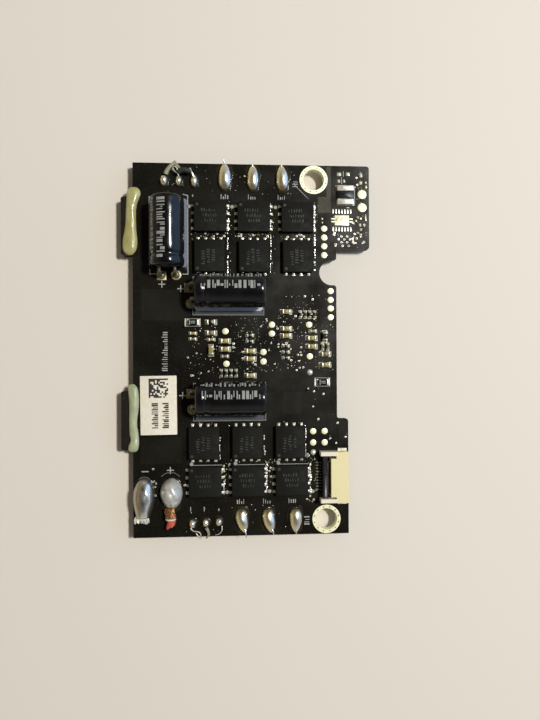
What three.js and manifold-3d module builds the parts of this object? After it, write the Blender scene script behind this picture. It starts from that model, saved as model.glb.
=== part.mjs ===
// Electronic speed controller for two brushless motors: one bare circuit board that carries
// two three-phase power stages, three bulk capacitors, a flat-cable connector with a flip
// lock, the soldered cable joints and two edge blocks held on with glue.
// Millimetres. While it is built, X runs across the board from its left edge, Y runs along
// it from its lower edge and Z runs up from the surface that the object lies on.
import * as THREE from 'three';
import { mergeVertices } from 'three/addons/utils/BufferGeometryUtils.js';
import Module from 'manifold-3d';

// Circuit board
const BOARD_LENGTH = 62.3;
const BOARD_THICKNESS = 1.2;
const LOWER_WIDTH = 36.0;
const WAIST_WIDTH = 34.1;
const TAB_WIDTH = 39.8;
const STEP_Y = 19.4;
const TAB_BOTTOM_Y = 48.1;
const NOTCH = { x: 33.3, y: 44.1, r: 2.1 };
const CORNER_RADIUS = 0.5;
const UNDERSIDE_ROOM = 1.0;
const BOARD_TOP = UNDERSIDE_ROOM + BOARD_THICKNESS;

// Plated screw holes: a barrel through the board with a flange on each face
const SCREW_HOLES = { upper: [30.3, 59.85], lower: [32.2, 2.5] };
const BARREL_BORE_R = 1.75;
const BARREL_WALL = 0.1;
const BARREL_GAP = 0.05;
const FLANGE_R = 2.4;
const FLANGE_HEIGHT = 0.06;

// Power transistors, in four rows of three
const TRANSISTOR = { along: 5.4, across: 5.0, height: 1.0 };
const LEAD = { pitch: 1.27, width: 0.45, reach: 0.35, thickness: 0.25, count: 4 };
const TRANSISTOR_ROWS = [
  { y: 53.3, turned: false, xs: [12.85, 20.1, 27.45] },
  { y: 46.75, turned: true, xs: [12.7, 20.1, 27.45] },
  { y: 15.6, turned: true, xs: [11.7, 18.9, 26.1] },
  { y: 9.2, turned: false, xs: [11.85, 19.0, 26.3] },
];

// Bulk capacitors, lying on the board; "heading" is the way from the seal to the can's top
const CAN = { radius: 2.5, wall: 0.3, length: 11.4 };
const SLEEVE_WALL = 0.25;
const SLEEVE_GAP = 0.05;
const SLEEVE_END = 0.15;
const SLEEVE_RADIUS = CAN.radius + SLEEVE_GAP + SLEEVE_WALL;
const ROUND_SIDES = 16;
const NECK = { at: 1.8, depth: 0.2, half: 0.35 };
const SEAL_LENGTH = 1.6;
const LEAD_WIRE = { radius: 0.25, spacing: 2.5 };
const CAPACITORS = [
  { name: 'capacitor_1', x: 5.95, y: 44.5, heading: Math.PI / 2, padReach: 0.85 },
  { name: 'capacitor_2', x: 10.4, y: 40.7, heading: 0, padReach: 0.95 },
  { name: 'capacitor_3', x: 10.5, y: 23.1, heading: 0, padReach: 0.85 },
];

// Flat-cable connector at the right edge; the cable goes in towards -X
const CONNECTOR = { x0: 31.05, x1: 35.7, y0: 5.55, y1: 14.0, height: 1.9 };
const CONNECTOR_BODY_X0 = 33.65;
const REAR_STEP = { x0: 32.75, y0: 6.5, y1: 12.9 };
const REAR_SHELF = { x0: 32.3, y0: 6.95, y1: 12.25, height: 1.1 };
const ARM = 0.65;
const CABLE_SLOT = { depth: 2.2, width: 5.6, z0: 0.75, z1: 1.2 };
const NAIL = { x0: 34.1, x1: 35.6, thickness: 0.4, height: 0.5, gap: 0.05 };
const LATCH = { pivotX: 32.25, pivotZ: 1.2, width: 0.85, thickness: 0.42, endGap: 0.1 };

// Soldered joints: centre, width across X, length along Y, height, and how much the
// lower end narrows (a negative value narrows the upper end)
const PHASE_JOINTS = {
  phase_joint_upper_1: { x: 15.3, y: 60.0, width: 2.2, length: 4.5, height: 1.7, taper: -0.25 },
  phase_joint_upper_2: { x: 20.0, y: 59.9, width: 2.0, length: 4.4, height: 1.6, taper: -0.3 },
  phase_joint_upper_3: { x: 24.95, y: 59.9, width: 2.1, length: 4.5, height: 1.6, taper: -0.3 },
  phase_joint_lower_1: { x: 17.8, y: 2.75, width: 2.2, length: 4.2, height: 1.7, taper: 0.35 },
  phase_joint_lower_2: { x: 22.4, y: 2.65, width: 2.2, length: 4.2, height: 1.7, taper: 0.35 },
  phase_joint_lower_3: { x: 26.9, y: 2.55, width: 2.2, length: 4.2, height: 1.6, taper: 0.35 },
};
const BATTERY_JOINTS = {
  battery_joint_negative: { x: 1.6, y: 6.6, width: 2.9, length: 6.4, height: 2.2, taper: 0.15 },
  battery_joint_positive: { x: 6.15, y: 7.45, width: 3.8, length: 4.8, height: 2.4, taper: 0.15 },
};

// Torn ends of the battery wires that are left in the solder
const WIRE_CORE = { x: 6.15, y0: 3.35, y1: 4.95, r: 0.8 };
const WIRE_INSULATION = { x: 6.3, y0: 1.4, y1: 3.2, r: 0.68 };
const WIRE_STRANDS = { x: 1.4, y: 2.8, width: 2.5, length: 0.7, height: 0.7 };

// Edge blocks beside the board and the glue beads that hold them
const BLOCK = { x0: -1.95, x1: -0.15, radius: 0.4 };
const BLOCK_SPANS = { edge_block_upper: [46.9, 56.6], edge_block_lower: [14.5, 24.3] };
const GLUE_HEIGHT = 0.85;
const GLUE_BEVEL = 0.3;
const GLUE_OUTLINES = {
  glue_bead_upper: [
    [-1.1, 55.0], [-1.2, 51.8], [-1.65, 49.0], [-1.5, 47.4], [-0.4, 46.9], [0.6, 47.5],
    [0.8, 49.2], [0.6, 52.0], [0.65, 55.6], [1.4, 57.2], [0.4, 58.2], [-0.8, 57.8],
  ],
  glue_bead_lower: [
    [-0.65, 22.5], [-0.65, 17.6], [-0.3, 16.3], [-0.9, 14.8], [0.1, 14.2], [0.95, 15.0],
    [1.0, 16.8], [0.65, 19.2], [1.0, 21.8], [0.9, 24.3], [0.2, 25.5], [-0.8, 25.0],
  ],
};

// Label, current-sense resistor, and the chips on the underside
const LABEL = { x: 4.2, y: 21.9, width: 6.0, length: 9.8, thickness: 0.1, turn: 0.01 };
const SHUNT = { x: 35.65, y: 57.25, width: 2.6, length: 3.2, height: 0.65 };
const UNDERSIDE_CHIPS = {
  microcontroller_1: { x: 24.0, y: 37.5, side: 7.0, height: UNDERSIDE_ROOM },
  microcontroller_2: { x: 24.0, y: 24.5, side: 7.0, height: UNDERSIDE_ROOM },
  gate_driver_1: { x: 19.9, y: 50.5, side: 5.0, height: 0.9 },
  gate_driver_2: { x: 19.0, y: 11.5, side: 5.0, height: 0.9 },
};

const MATERIALS = {
  solderMask: { color: 0x181614, roughness: 0.35, metalness: 0 },
  gold: { color: 0xe8cf8a, roughness: 0.3, metalness: 1 },
  mouldedBlack: { color: 0x232325, roughness: 0.6, metalness: 0 },
  sleeve: { color: 0x14141c, roughness: 0.25, metalness: 0 },
  aluminium: { color: 0xb9bcc0, roughness: 0.35, metalness: 1 },
  rubber: { color: 0x1c1c1c, roughness: 0.8, metalness: 0 },
  paperWinding: { color: 0xb8a888, roughness: 0.8, metalness: 0 },
  tin: { color: 0xc4c6c8, roughness: 0.3, metalness: 1 },
  cream: { color: 0xe6d8ae, roughness: 0.5, metalness: 0 },
  latchBlack: { color: 0x26262c, roughness: 0.35, metalness: 0 },
  copper: { color: 0xa8673a, roughness: 0.5, metalness: 1 },
  redInsulation: { color: 0xb8402f, roughness: 0.6, metalness: 0 },
  glue: { color: 0xb9b268, roughness: 0.4, metalness: 0 },
  paper: { color: 0xece2cd, roughness: 0.7, metalness: 0 },
};

const wasm = await Module();
wasm.setup();

const board = new THREE.Group();

function add(name, geometry, material) {
  const mesh = new THREE.Mesh(geometry, new THREE.MeshStandardMaterial(MATERIALS[material]));
  mesh.name = name;
  board.add(mesh);
  return mesh;
}

// ---- Shape helpers ----

function toSolid(geometry) {
  const bare = geometry.clone();
  bare.deleteAttribute('normal');
  bare.deleteAttribute('uv');
  const merged = mergeVertices(bare, 1e-5);
  const mesh = new wasm.Mesh({
    numProp: 3,
    vertProperties: new Float32Array(merged.attributes.position.array),
    triVerts: new Uint32Array(merged.index.array),
  });
  return new wasm.Manifold(mesh);
}

function fromSolid(solid) {
  const mesh = solid.getMesh();
  const geometry = new THREE.BufferGeometry();
  geometry.setAttribute('position', new THREE.BufferAttribute(mesh.vertProperties, 3));
  geometry.setIndex(new THREE.BufferAttribute(mesh.triVerts, 1));
  geometry.computeVertexNormals();
  return geometry;
}

function boxBetween(x0, x1, y0, y1, z0, z1) {
  const box = new THREE.BoxGeometry(x1 - x0, y1 - y0, z1 - z0);
  return box.translate((x0 + x1) / 2, (y0 + y1) / 2, (z0 + z1) / 2);
}

function extrudeUp(shape, z0, height, curveSegments = 6) {
  const options = { depth: height, bevelEnabled: false, curveSegments };
  return new THREE.ExtrudeGeometry(shape, options).translate(0, 0, z0);
}

// A profile of [radius, height] points turned about Z
function latheAboutZ(profile, segments) {
  const points = profile.map(([r, h]) => new THREE.Vector2(r, h));
  return new THREE.LatheGeometry(points, segments).rotateX(Math.PI / 2);
}

function roundedRectangle(x0, x1, y0, y1, r) {
  const shape = new THREE.Shape();
  shape.moveTo(x0 + r, y0);
  shape.absarc(x1 - r, y0 + r, r, -Math.PI / 2, 0, false);
  shape.absarc(x1 - r, y1 - r, r, 0, Math.PI / 2, false);
  shape.absarc(x0 + r, y1 - r, r, Math.PI / 2, Math.PI, false);
  shape.absarc(x0 + r, y0 + r, r, Math.PI, 1.5 * Math.PI, false);
  return shape;
}

// A straight round rod along Y
function rodAlongY(x, y0, y1, z, radius, sides) {
  const rod = new THREE.CylinderGeometry(radius, radius, y1 - y0, sides);
  return rod.translate(x, (y0 + y1) / 2, z);
}

// ---- Circuit board and its plated holes ----

function boardOutline() {
  const c = CORNER_RADIUS;
  const quarter = Math.PI / 2;
  const lipY = NOTCH.y - NOTCH.r;
  const shape = new THREE.Shape();
  shape.moveTo(0, 0);
  shape.lineTo(LOWER_WIDTH, 0);
  shape.absarc(LOWER_WIDTH - c, STEP_Y - c, c, 0, quarter, false);
  shape.absarc(WAIST_WIDTH + c, STEP_Y + c, c, -quarter, -Math.PI, true);
  shape.absarc(WAIST_WIDTH - c, lipY - c, c, 0, quarter, false);
  shape.absarc(NOTCH.x, NOTCH.y, NOTCH.r, -quarter, quarter, true);
  shape.lineTo(WAIST_WIDTH, NOTCH.y + NOTCH.r + c / 2);
  shape.lineTo(WAIST_WIDTH, TAB_BOTTOM_Y);
  shape.absarc(TAB_WIDTH - c, TAB_BOTTOM_Y + c, c, -quarter, 0, false);
  shape.absarc(TAB_WIDTH - c, BOARD_LENGTH - c, c, 0, quarter, false);
  shape.lineTo(0, BOARD_LENGTH);
  for (const [x, y] of Object.values(SCREW_HOLES)) {
    const hole = new THREE.Path();
    hole.absarc(x, y, BARREL_BORE_R + BARREL_WALL + BARREL_GAP, 0, 2 * Math.PI, false);
    shape.holes.push(hole);
  }
  return shape;
}

add('circuit_board', extrudeUp(boardOutline(), UNDERSIDE_ROOM, BOARD_THICKNESS, 10), 'solderMask');

for (const [place, [x, y]] of Object.entries(SCREW_HOLES)) {
  const low = UNDERSIDE_ROOM;
  const outer = BARREL_BORE_R + BARREL_WALL;
  const profile = [
    [BARREL_BORE_R, low - FLANGE_HEIGHT], [FLANGE_R, low - FLANGE_HEIGHT], [FLANGE_R, low],
    [outer, low], [outer, BOARD_TOP], [FLANGE_R, BOARD_TOP],
    [FLANGE_R, BOARD_TOP + FLANGE_HEIGHT], [BARREL_BORE_R, BOARD_TOP + FLANGE_HEIGHT],
    [BARREL_BORE_R, low - FLANGE_HEIGHT],
  ];
  add(`screw_hole_ring_${place}`, latheAboutZ(profile, 20), 'gold').position.set(x, y, 0);
}

// ---- Power transistors ----

function transistorGeometry() {
  const { along, across, height } = TRANSISTOR;
  let solid = toSolid(boxBetween(-along / 2, along / 2, -across / 2, across / 2, 0, height));
  for (let i = 0; i < LEAD.count; i += 1) {
    const y = (i - (LEAD.count - 1) / 2) * LEAD.pitch;
    const tip = along / 2 + LEAD.reach;
    const bar = boxBetween(-tip, tip, y - LEAD.width / 2, y + LEAD.width / 2, 0, LEAD.thickness);
    solid = solid.add(toSolid(bar));
  }
  return fromSolid(solid);
}

const transistor = transistorGeometry();
let transistorNumber = 1;
for (const row of TRANSISTOR_ROWS) {
  for (const x of row.xs) {
    const mesh = add(`mosfet_${transistorNumber}`, transistor, 'mouldedBlack');
    mesh.position.set(x, row.y, BOARD_TOP);
    mesh.rotation.z = row.turned ? Math.PI / 2 : 0;
    transistorNumber += 1;
  }
}

// ---- Bulk capacitors ----

// A wall at the given radius, drawn in by the crimp that grips the seal
function necked(radius, from, to) {
  return [
    [radius, from], [radius, NECK.at - NECK.half], [radius - NECK.depth, NECK.at],
    [radius, NECK.at + NECK.half], [radius, to],
  ];
}

// Each part is turned about its own axis, with its sealed end at height 0
const capacitorParts = {
  // A cup that is open at the seal
  can: () => {
    const top = CAN.length - SLEEVE_END;
    const floor = top - CAN.wall;
    const inside = necked(CAN.radius - CAN.wall, SLEEVE_END, floor).reverse();
    const outside = necked(CAN.radius, SLEEVE_END, top);
    return latheAboutZ([[0, floor], ...inside, ...outside, [0, top]], ROUND_SIDES);
  },
  // A thin shrunk tube whose ends curl in over the can
  sleeve: () => {
    const lip = CAN.radius - 0.4;
    const shoulder = SLEEVE_RADIUS - 0.25;
    const top = CAN.length;
    const end = SLEEVE_END - 0.05;
    const inside = necked(CAN.radius + SLEEVE_GAP, end, top - end).reverse();
    const outside = necked(SLEEVE_RADIUS, 0.3, top - 0.3);
    const lower = [[lip, end], [lip, 0], [shoulder, 0]];
    const upper = [[shoulder, top], [lip, top], [lip, top - end]];
    return latheAboutZ([...lower, ...outside, ...upper, ...inside, [lip, end]], ROUND_SIDES);
  },
  seal: () => {
    const r = CAN.radius - CAN.wall - NECK.depth - 0.05;
    const low = SLEEVE_END + 0.1;
    const high = low + SEAL_LENGTH;
    return latheAboutZ([[0, low], [r, low], [r, high], [0, high]], ROUND_SIDES);
  },
  winding: () => {
    const r = CAN.radius - CAN.wall - 0.1;
    const low = NECK.at + NECK.half + 0.2;
    const high = CAN.length - 0.8;
    return latheAboutZ([[0, low], [r, low], [r, high], [0, high]], ROUND_SIDES);
  },
};
const CAPACITOR_MATERIALS = {
  can: 'aluminium', sleeve: 'sleeve', seal: 'rubber', winding: 'paperWinding',
};

// A lead that comes out of the seal, bends and goes down to its pad on the board
function leadGeometry(padReach) {
  const drop = SLEEVE_RADIUS;
  const route = new THREE.CatmullRomCurve3([
    new THREE.Vector3(0.1, 0, 0),
    new THREE.Vector3(-padReach * 0.55, 0, 0),
    new THREE.Vector3(-padReach, 0, -0.45),
    new THREE.Vector3(-padReach, 0, -drop),
  ]);
  const section = new THREE.Shape();
  section.absarc(0, 0, LEAD_WIRE.radius, 0, 2 * Math.PI, false);
  return new THREE.ExtrudeGeometry(section, { steps: 8, extrudePath: route, curveSegments: 3 });
}

for (const { name, x, y, heading, padReach } of CAPACITORS) {
  const group = new THREE.Group();
  group.position.set(x, y, BOARD_TOP + SLEEVE_RADIUS);
  group.rotation.z = heading;
  board.add(group);
  for (const [part, make] of Object.entries(capacitorParts)) {
    const mesh = add(`${name}_${part}`, make(), CAPACITOR_MATERIALS[part]);
    mesh.rotation.y = Math.PI / 2;
    group.add(mesh);
  }
  for (const [sign, side] of [['positive', 1], ['negative', -1]]) {
    const mesh = add(`${name}_lead_${sign}`, leadGeometry(padReach), 'tin');
    mesh.position.y = (side * LEAD_WIRE.spacing) / 2;
    group.add(mesh);
  }
}

// ---- Flat-cable connector ----

function housingGeometry() {
  const { x0, x1, y0, y1, height } = CONNECTOR;
  const z0 = BOARD_TOP;
  const middle = (REAR_SHELF.y0 + REAR_SHELF.y1) / 2;
  const mouth = [middle - CABLE_SLOT.width / 2, middle + CABLE_SLOT.width / 2];
  const inBody = CONNECTOR_BODY_X0 + 0.2;
  const blocks = [
    boxBetween(CONNECTOR_BODY_X0, x1, y0, y1, z0, z0 + height),
    boxBetween(x0, inBody, y0, y0 + ARM, z0, z0 + height),
    boxBetween(x0, inBody, y1 - ARM, y1, z0, z0 + height),
    boxBetween(REAR_STEP.x0, inBody, REAR_STEP.y0, REAR_STEP.y1, z0, z0 + height),
    boxBetween(REAR_SHELF.x0, inBody, REAR_SHELF.y0, REAR_SHELF.y1, z0, z0 + REAR_SHELF.height),
  ];
  const joined = wasm.Manifold.union(blocks.map(toSolid));
  const slot = boxBetween(
    x1 - CABLE_SLOT.depth, x1 + 1, mouth[0], mouth[1], z0 + CABLE_SLOT.z0, z0 + CABLE_SLOT.z1,
  );
  return fromSolid(joined.subtract(toSolid(slot)));
}

// The flip lock's section, with its pivot edge at the origin and rounded at the free side
function latchGeometry() {
  const { width, thickness, endGap } = LATCH;
  const section = new THREE.Shape();
  section.moveTo(0, 0.05);
  section.lineTo(0, thickness - 0.15);
  section.lineTo(-0.15, thickness);
  section.lineTo(-width + 0.2, thickness);
  section.lineTo(-width, thickness - 0.2);
  section.lineTo(-width, 0.1);
  section.lineTo(-width + 0.1, 0);
  section.lineTo(-0.05, 0);
  const start = CONNECTOR.y0 + ARM + endGap;
  const end = CONNECTOR.y1 - ARM - endGap;
  return extrudeUp(section, -end, end - start).rotateX(Math.PI / 2);
}

add('connector_housing', housingGeometry(), 'cream');
add('connector_latch', latchGeometry(), 'latchBlack')
  .position.set(LATCH.pivotX, 0, BOARD_TOP + LATCH.pivotZ);

const nailOffset = NAIL.gap + NAIL.thickness;
const nailStarts = { lower: CONNECTOR.y0 - nailOffset, upper: CONNECTOR.y1 + NAIL.gap };
for (const [place, y] of Object.entries(nailStarts)) {
  const top = BOARD_TOP + NAIL.height;
  const nail = boxBetween(NAIL.x0, NAIL.x1, y, y + NAIL.thickness, BOARD_TOP, top);
  add(`connector_nail_${place}`, nail, 'tin');
}

// ---- Soldered joints and wire ends ----

const DOME_PROFILE = [[0, 0], [1, 0], [0.96, 0.3], [0.78, 0.66], [0.45, 0.91], [0, 1]];

function domeGeometry({ width, length, height, taper = 0 }) {
  const dome = latheAboutZ(DOME_PROFILE, 14);
  const position = dome.attributes.position;
  for (let i = 0; i < position.count; i += 1) {
    const along = position.getY(i);
    const narrowing = 1 - Math.max(0, -Math.sign(taper) * along) * Math.abs(taper) * 2;
    position.setX(i, position.getX(i) * narrowing);
  }
  return dome.scale(width / 2, length / 2, height);
}

for (const [name, joint] of Object.entries({ ...PHASE_JOINTS, ...BATTERY_JOINTS })) {
  add(name, domeGeometry(joint), 'tin').position.set(joint.x, joint.y, BOARD_TOP);
}

const core = WIRE_CORE;
add('positive_wire_core', rodAlongY(core.x, core.y0, core.y1, BOARD_TOP + core.r, core.r, 10), 'copper');
const skin = WIRE_INSULATION;
const skinRod = rodAlongY(skin.x, skin.y0, skin.y1, BOARD_TOP + skin.r, skin.r, 12);
add('positive_wire_insulation', skinRod, 'redInsulation');
add('negative_wire_strands', domeGeometry(WIRE_STRANDS), 'tin')
  .position.set(WIRE_STRANDS.x, WIRE_STRANDS.y, BOARD_TOP);

// ---- Edge blocks and glue ----

for (const [name, [y0, y1]] of Object.entries(BLOCK_SPANS)) {
  const outline = roundedRectangle(BLOCK.x0, BLOCK.x1, y0, y1, BLOCK.radius);
  add(name, extrudeUp(outline, 0, BOARD_TOP, 4), 'mouldedBlack');
}

for (const [name, points] of Object.entries(GLUE_OUTLINES)) {
  const loop = points.map(([x, y]) => new THREE.Vector3(x, y, 0));
  const curve = new THREE.CatmullRomCurve3(loop, true, 'centripetal');
  const flat = curve.getPoints(36).slice(0, -1);
  const shape = new THREE.Shape(flat.map((p) => new THREE.Vector2(p.x, p.y)));
  const bead = new THREE.ExtrudeGeometry(shape, {
    depth: GLUE_HEIGHT - GLUE_BEVEL,
    bevelEnabled: true,
    bevelThickness: GLUE_BEVEL,
    bevelSize: GLUE_BEVEL,
    bevelOffset: -GLUE_BEVEL,
    bevelSegments: 2,
  });
  const floor = toSolid(boxBetween(-5, 5, 0, BOARD_LENGTH, -2, 0));
  add(name, fromSolid(toSolid(bead).subtract(floor)), 'glue').position.z = BOARD_TOP;
}

// ---- Label, current-sense resistor and underside chips ----

const label = new THREE.BoxGeometry(LABEL.width, LABEL.length, LABEL.thickness);
const labelMesh = add('label', label, 'paper');
labelMesh.position.set(LABEL.x, LABEL.y, BOARD_TOP + LABEL.thickness / 2);
labelMesh.rotation.z = LABEL.turn;

add('shunt_resistor', new THREE.BoxGeometry(SHUNT.width, SHUNT.length, SHUNT.height), 'mouldedBlack')
  .position.set(SHUNT.x, SHUNT.y, BOARD_TOP + SHUNT.height / 2);

for (const [name, { x, y, side, height }] of Object.entries(UNDERSIDE_CHIPS)) {
  add(name, new THREE.BoxGeometry(side, side, height), 'mouldedBlack')
    .position.set(x, y, UNDERSIDE_ROOM - height / 2);
}

// The origin is the centre of the bounding box's bottom face
const bounds = new THREE.Box3().setFromObject(board, true);
const centre = bounds.getCenter(new THREE.Vector3());
board.position.set(-centre.x, -centre.y, -bounds.min.z);

export default board;
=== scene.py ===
"""Looks of a bare electronic speed controller board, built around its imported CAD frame."""

import math
import random

import bmesh
import bpy
from mathutils import Matrix, Vector


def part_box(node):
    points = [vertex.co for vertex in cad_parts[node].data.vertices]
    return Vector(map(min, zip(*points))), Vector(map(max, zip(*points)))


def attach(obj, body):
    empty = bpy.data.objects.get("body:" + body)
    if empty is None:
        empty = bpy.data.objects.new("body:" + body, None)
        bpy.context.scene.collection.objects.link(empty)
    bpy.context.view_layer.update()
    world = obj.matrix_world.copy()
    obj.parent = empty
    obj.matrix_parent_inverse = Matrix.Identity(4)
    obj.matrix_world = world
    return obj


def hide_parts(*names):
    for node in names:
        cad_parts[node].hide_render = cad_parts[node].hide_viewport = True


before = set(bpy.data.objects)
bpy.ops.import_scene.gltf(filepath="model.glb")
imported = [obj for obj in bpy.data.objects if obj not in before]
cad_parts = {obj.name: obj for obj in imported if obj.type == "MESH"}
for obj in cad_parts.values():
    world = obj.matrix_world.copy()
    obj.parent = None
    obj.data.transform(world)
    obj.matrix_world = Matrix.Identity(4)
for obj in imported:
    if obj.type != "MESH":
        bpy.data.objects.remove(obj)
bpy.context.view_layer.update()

MM = 0.001
ROOT = "board_assembly"
LATCH = "latch"

# Board coordinates in millimetres: u across from the left edge, v up from the lower edge,
# h above the board's upper face. Everything below is placed in them.
board_low, board_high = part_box("circuit_board")
ORIGIN = Vector((board_low[0], board_low[1], board_high[2]))
THICKNESS = (board_high[2] - board_low[2]) / MM


def place(u, v, h):
    return ORIGIN + Vector((u, v, h)) * MM


def board_box(node):
    """A CAD node's lowest and highest corner in board coordinates."""
    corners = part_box(node)
    return [tuple((c[i] - ORIGIN[i]) / MM for i in range(3)) for c in corners]


def centre_of(node):
    a, b = board_box(node)
    return tuple((a[i] + b[i]) / 2 for i in range(3))


# ---------------------------------------------------------------- camera and stage

def rotation_from(forward, up):
    """A camera's rotation from the directions it looks in and holds upright."""
    z = -Vector(forward).normalized()
    x = Vector(up).cross(z).normalized()
    return Matrix((x, z.cross(x), z)).transposed()


def make_camera():
    """The photograph's view: from about a hand's width above, a little turned."""
    data = bpy.data.cameras.new("camera")
    data.lens = 29.1
    data.clip_start = 0.005
    camera = bpy.data.objects.new("camera", data)
    turn = rotation_from((0.06508, 0.00826, -0.99785), (0.00409, 0.99996, 0.00854))
    camera.matrix_world = Matrix.Translation(place(16.39, 28.55, 97.71)) @ turn.to_4x4()
    bpy.context.scene.collection.objects.link(camera)
    bpy.context.scene.camera = camera


def area_light(name, position, target, size, power, color):
    data = bpy.data.lights.new(name, "AREA")
    data.shape = "RECTANGLE"
    data.size, data.size_y = size
    data.energy = power
    data.color = color
    lamp = bpy.data.objects.new(name, data)
    lamp.location = position
    aim = Vector(target) - Vector(position)
    lamp.rotation_euler = aim.to_track_quat("-Z", "Y").to_euler()
    bpy.context.scene.collection.objects.link(lamp)


def add_node(tree, kind, inputs=(), **settings):
    """A new shader node. Each input takes a value, or the output of another node."""
    node = tree.nodes.new("ShaderNode" + kind)
    for name, value in settings.items():
        setattr(node, name, value)
    for socket, value in dict(inputs).items():
        if isinstance(value, bpy.types.NodeSocket):
            tree.links.new(value, node.inputs[socket])
        else:
            node.inputs[socket].default_value = value
    return node


def add_ramp(tree, value, stops):
    node = add_node(tree, "ValToRGB", {0: value})
    steps = node.color_ramp.elements
    steps[1].position = stops[-1][0]
    for position, _ in stops[1:-1]:
        steps.new(position)
    steps[0].position = stops[0][0]
    for step, (_, color) in zip(steps, stops):
        step.color = color
    return node.outputs[0]


def make_world():
    """Warm light from the left, cool light from the right, and a dark ceiling."""
    world = bpy.data.worlds.new("studio")
    world.use_nodes = True
    bpy.context.scene.world = world
    tree = world.node_tree
    direction = add_node(tree, "TexCoord").outputs["Generated"]
    axes = add_node(tree, "SeparateXYZ", {0: direction}).outputs
    across = add_node(tree, "MapRange", {"From Min": -1, "Value": axes["X"]}).outputs[0]
    side = add_ramp(tree, across, (
        (0.2, (0.72, 0.62, 0.46, 1)), (0.85, (0.62, 0.68, 0.78, 1)),
    ))
    height = add_ramp(tree, axes["Z"], [
        (position, (level, level, level, 1))
        for position, level in ((0, 0.4), (0.28, 1.0), (0.45, 1.0), (0.88, 0.07))
    ])
    inputs = {"Factor": 1, "A": side, "B": height}
    mix = add_node(tree, "Mix", inputs, data_type="RGBA", blend_type="MULTIPLY")
    background = tree.nodes["Background"]
    tree.links.new(mix.outputs["Result"], background.inputs["Color"])
    background.inputs["Strength"].default_value = 0.54


def make_stage():
    scene = bpy.context.scene
    scene.view_settings.view_transform = "Standard"
    area_light("window", (0.62, 0.16, 0.30), (0, 0, 0), (0.7, 0.8), 1.6, (0.17, 0.50, 0.98))
    area_light("ceiling_lamp", (0.31, 0.13, 0.62), (0, 0, 0), (0.12, 0.06), 4.6, (1.0, 0.97, 0.90))
    make_world()
    bpy.ops.mesh.primitive_plane_add(size=1.6, location=(0, 0, 0))
    floor = bpy.context.object
    floor.name = "floor"
    look = Look("floor_paper", (0.74, 0.68, 0.60), 0.75)
    floor.data.materials.append(look.material)


# ---------------------------------------------------------------- materials

class Look:
    """A procedural material. Its patterns are in the object's own space, in millimetres."""

    def __init__(self, name, color, roughness, metallic=0.0, specular=None, **sockets):
        self.name, self.material = name, bpy.data.materials.new(name)
        self.material.use_nodes = True
        self.tree = self.material.node_tree
        self.shader = self.tree.nodes["Principled BSDF"].inputs
        self.color, self.roughness, self.normal = (*color, 1), roughness, None
        self.shader["Base Color"].default_value = self.color
        self.shader["Roughness"].default_value = roughness
        self.shader["Metallic"].default_value = metallic
        if specular is not None:
            self.shader["Specular IOR Level"].default_value = specular
        for socket, value in sockets.items():
            self.shader[socket.replace("_", " ").title()].default_value = value

    def output(self, kind, socket=0, inputs=(), **settings):
        return add_node(self.tree, kind, inputs, **settings).outputs[socket]

    def link(self, value, socket):
        self.tree.links.new(value, self.shader[socket])
        return value

    def position(self, stretch=(1, 1, 1)):
        inputs = {"Vector": self.output("TexCoord", "Object"), "Scale": stretch}
        return self.output("Mapping", 0, inputs)

    def noise(self, size, detail=3.0, stretch=(1, 1, 1)):
        inputs = {"Vector": self.position(stretch), "Scale": 1 / (size * MM), "Detail": detail}
        return self.output("TexNoise", "Fac", inputs)

    def cells(self, size):
        inputs = {"Vector": self.position(), "Scale": 1 / (size * MM)}
        return self.output("TexVoronoi", "Distance", inputs)

    def weave(self, size, direction):
        """Bands a size apart, wavy like the glass cloth under the mask."""
        inputs = {"Vector": self.output("TexCoord", "Object"), "Scale": 0.314 / (size * MM)}
        inputs["Distortion"] = 1.0
        return self.output("TexWave", "Fac", inputs, bands_direction=direction)

    def axis(self, name, space="Object"):
        """One coordinate of the surface point, or of its normal."""
        return self.output("SeparateXYZ", name, {0: self.output("TexCoord", space)})

    def maths(self, operation, *values):
        return self.output("Math", 0, dict(enumerate(values)), operation=operation)

    def ranged(self, value, low, high, from_low=0.3, from_high=0.7):
        inputs = {"Value": value, "To Min": low, "To Max": high}
        return self.output("MapRange", 0, inputs | {"From Min": from_low, "From Max": from_high})

    def tint(self, value, color, low=0.4, high=0.65):
        """Blends towards a colour where the value goes from low to high."""
        inputs = {"Factor": self.ranged(value, 0, 1, low, high), "A": self.color, "B": (*color, 1)}
        self.color = self.link(self.output("Mix", "Result", inputs, data_type="RGBA"), "Base Color")

    def rough(self, value, low, high):
        self.roughness = self.link(self.ranged(value, low, high), "Roughness")

    def bump(self, value, depth, strength=1.0):
        inputs = {"Strength": strength, "Distance": depth * MM, "Height": value}
        if self.normal:
            inputs["Normal"] = self.normal
        self.normal = self.link(self.output("Bump", "Normal", inputs), "Normal")


def solder_mask_look(
    name="mask", color=(0.0070, 0.0060, 0.0040), cloud=(0.0110, 0.0098, 0.0068)
):
    look = Look(name, color, 0.30, specular=0.31)
    look.tint(look.noise(9, 2), cloud)
    look.tint(look.noise(0.35, 4), (0.020, 0.018, 0.015), 0.55, 0.8)
    look.rough(look.noise(4, 4), 0.16, 0.30)
    look.bump(look.weave(0.45, "X"), 0.0015, 0.3)
    look.bump(look.weave(0.45, "Y"), 0.0015, 0.3)
    look.bump(look.noise(0.25, 3), 0.003, 0.5)
    return look


def board_look():
    """Solder mask on the faces, and bare laminate on the walls between them."""
    look = solder_mask_look("board")
    half = THICKNESS / 2
    wall = look.maths("COMPARE", look.axis("Z"), ORIGIN.z - half * MM, (half - 0.03) * MM)
    look.tint(wall, (0.050, 0.040, 0.026), 0, 1)
    look.link(look.maths("MULTIPLY_ADD", wall, 0.45, look.roughness), "Roughness")
    return look


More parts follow.
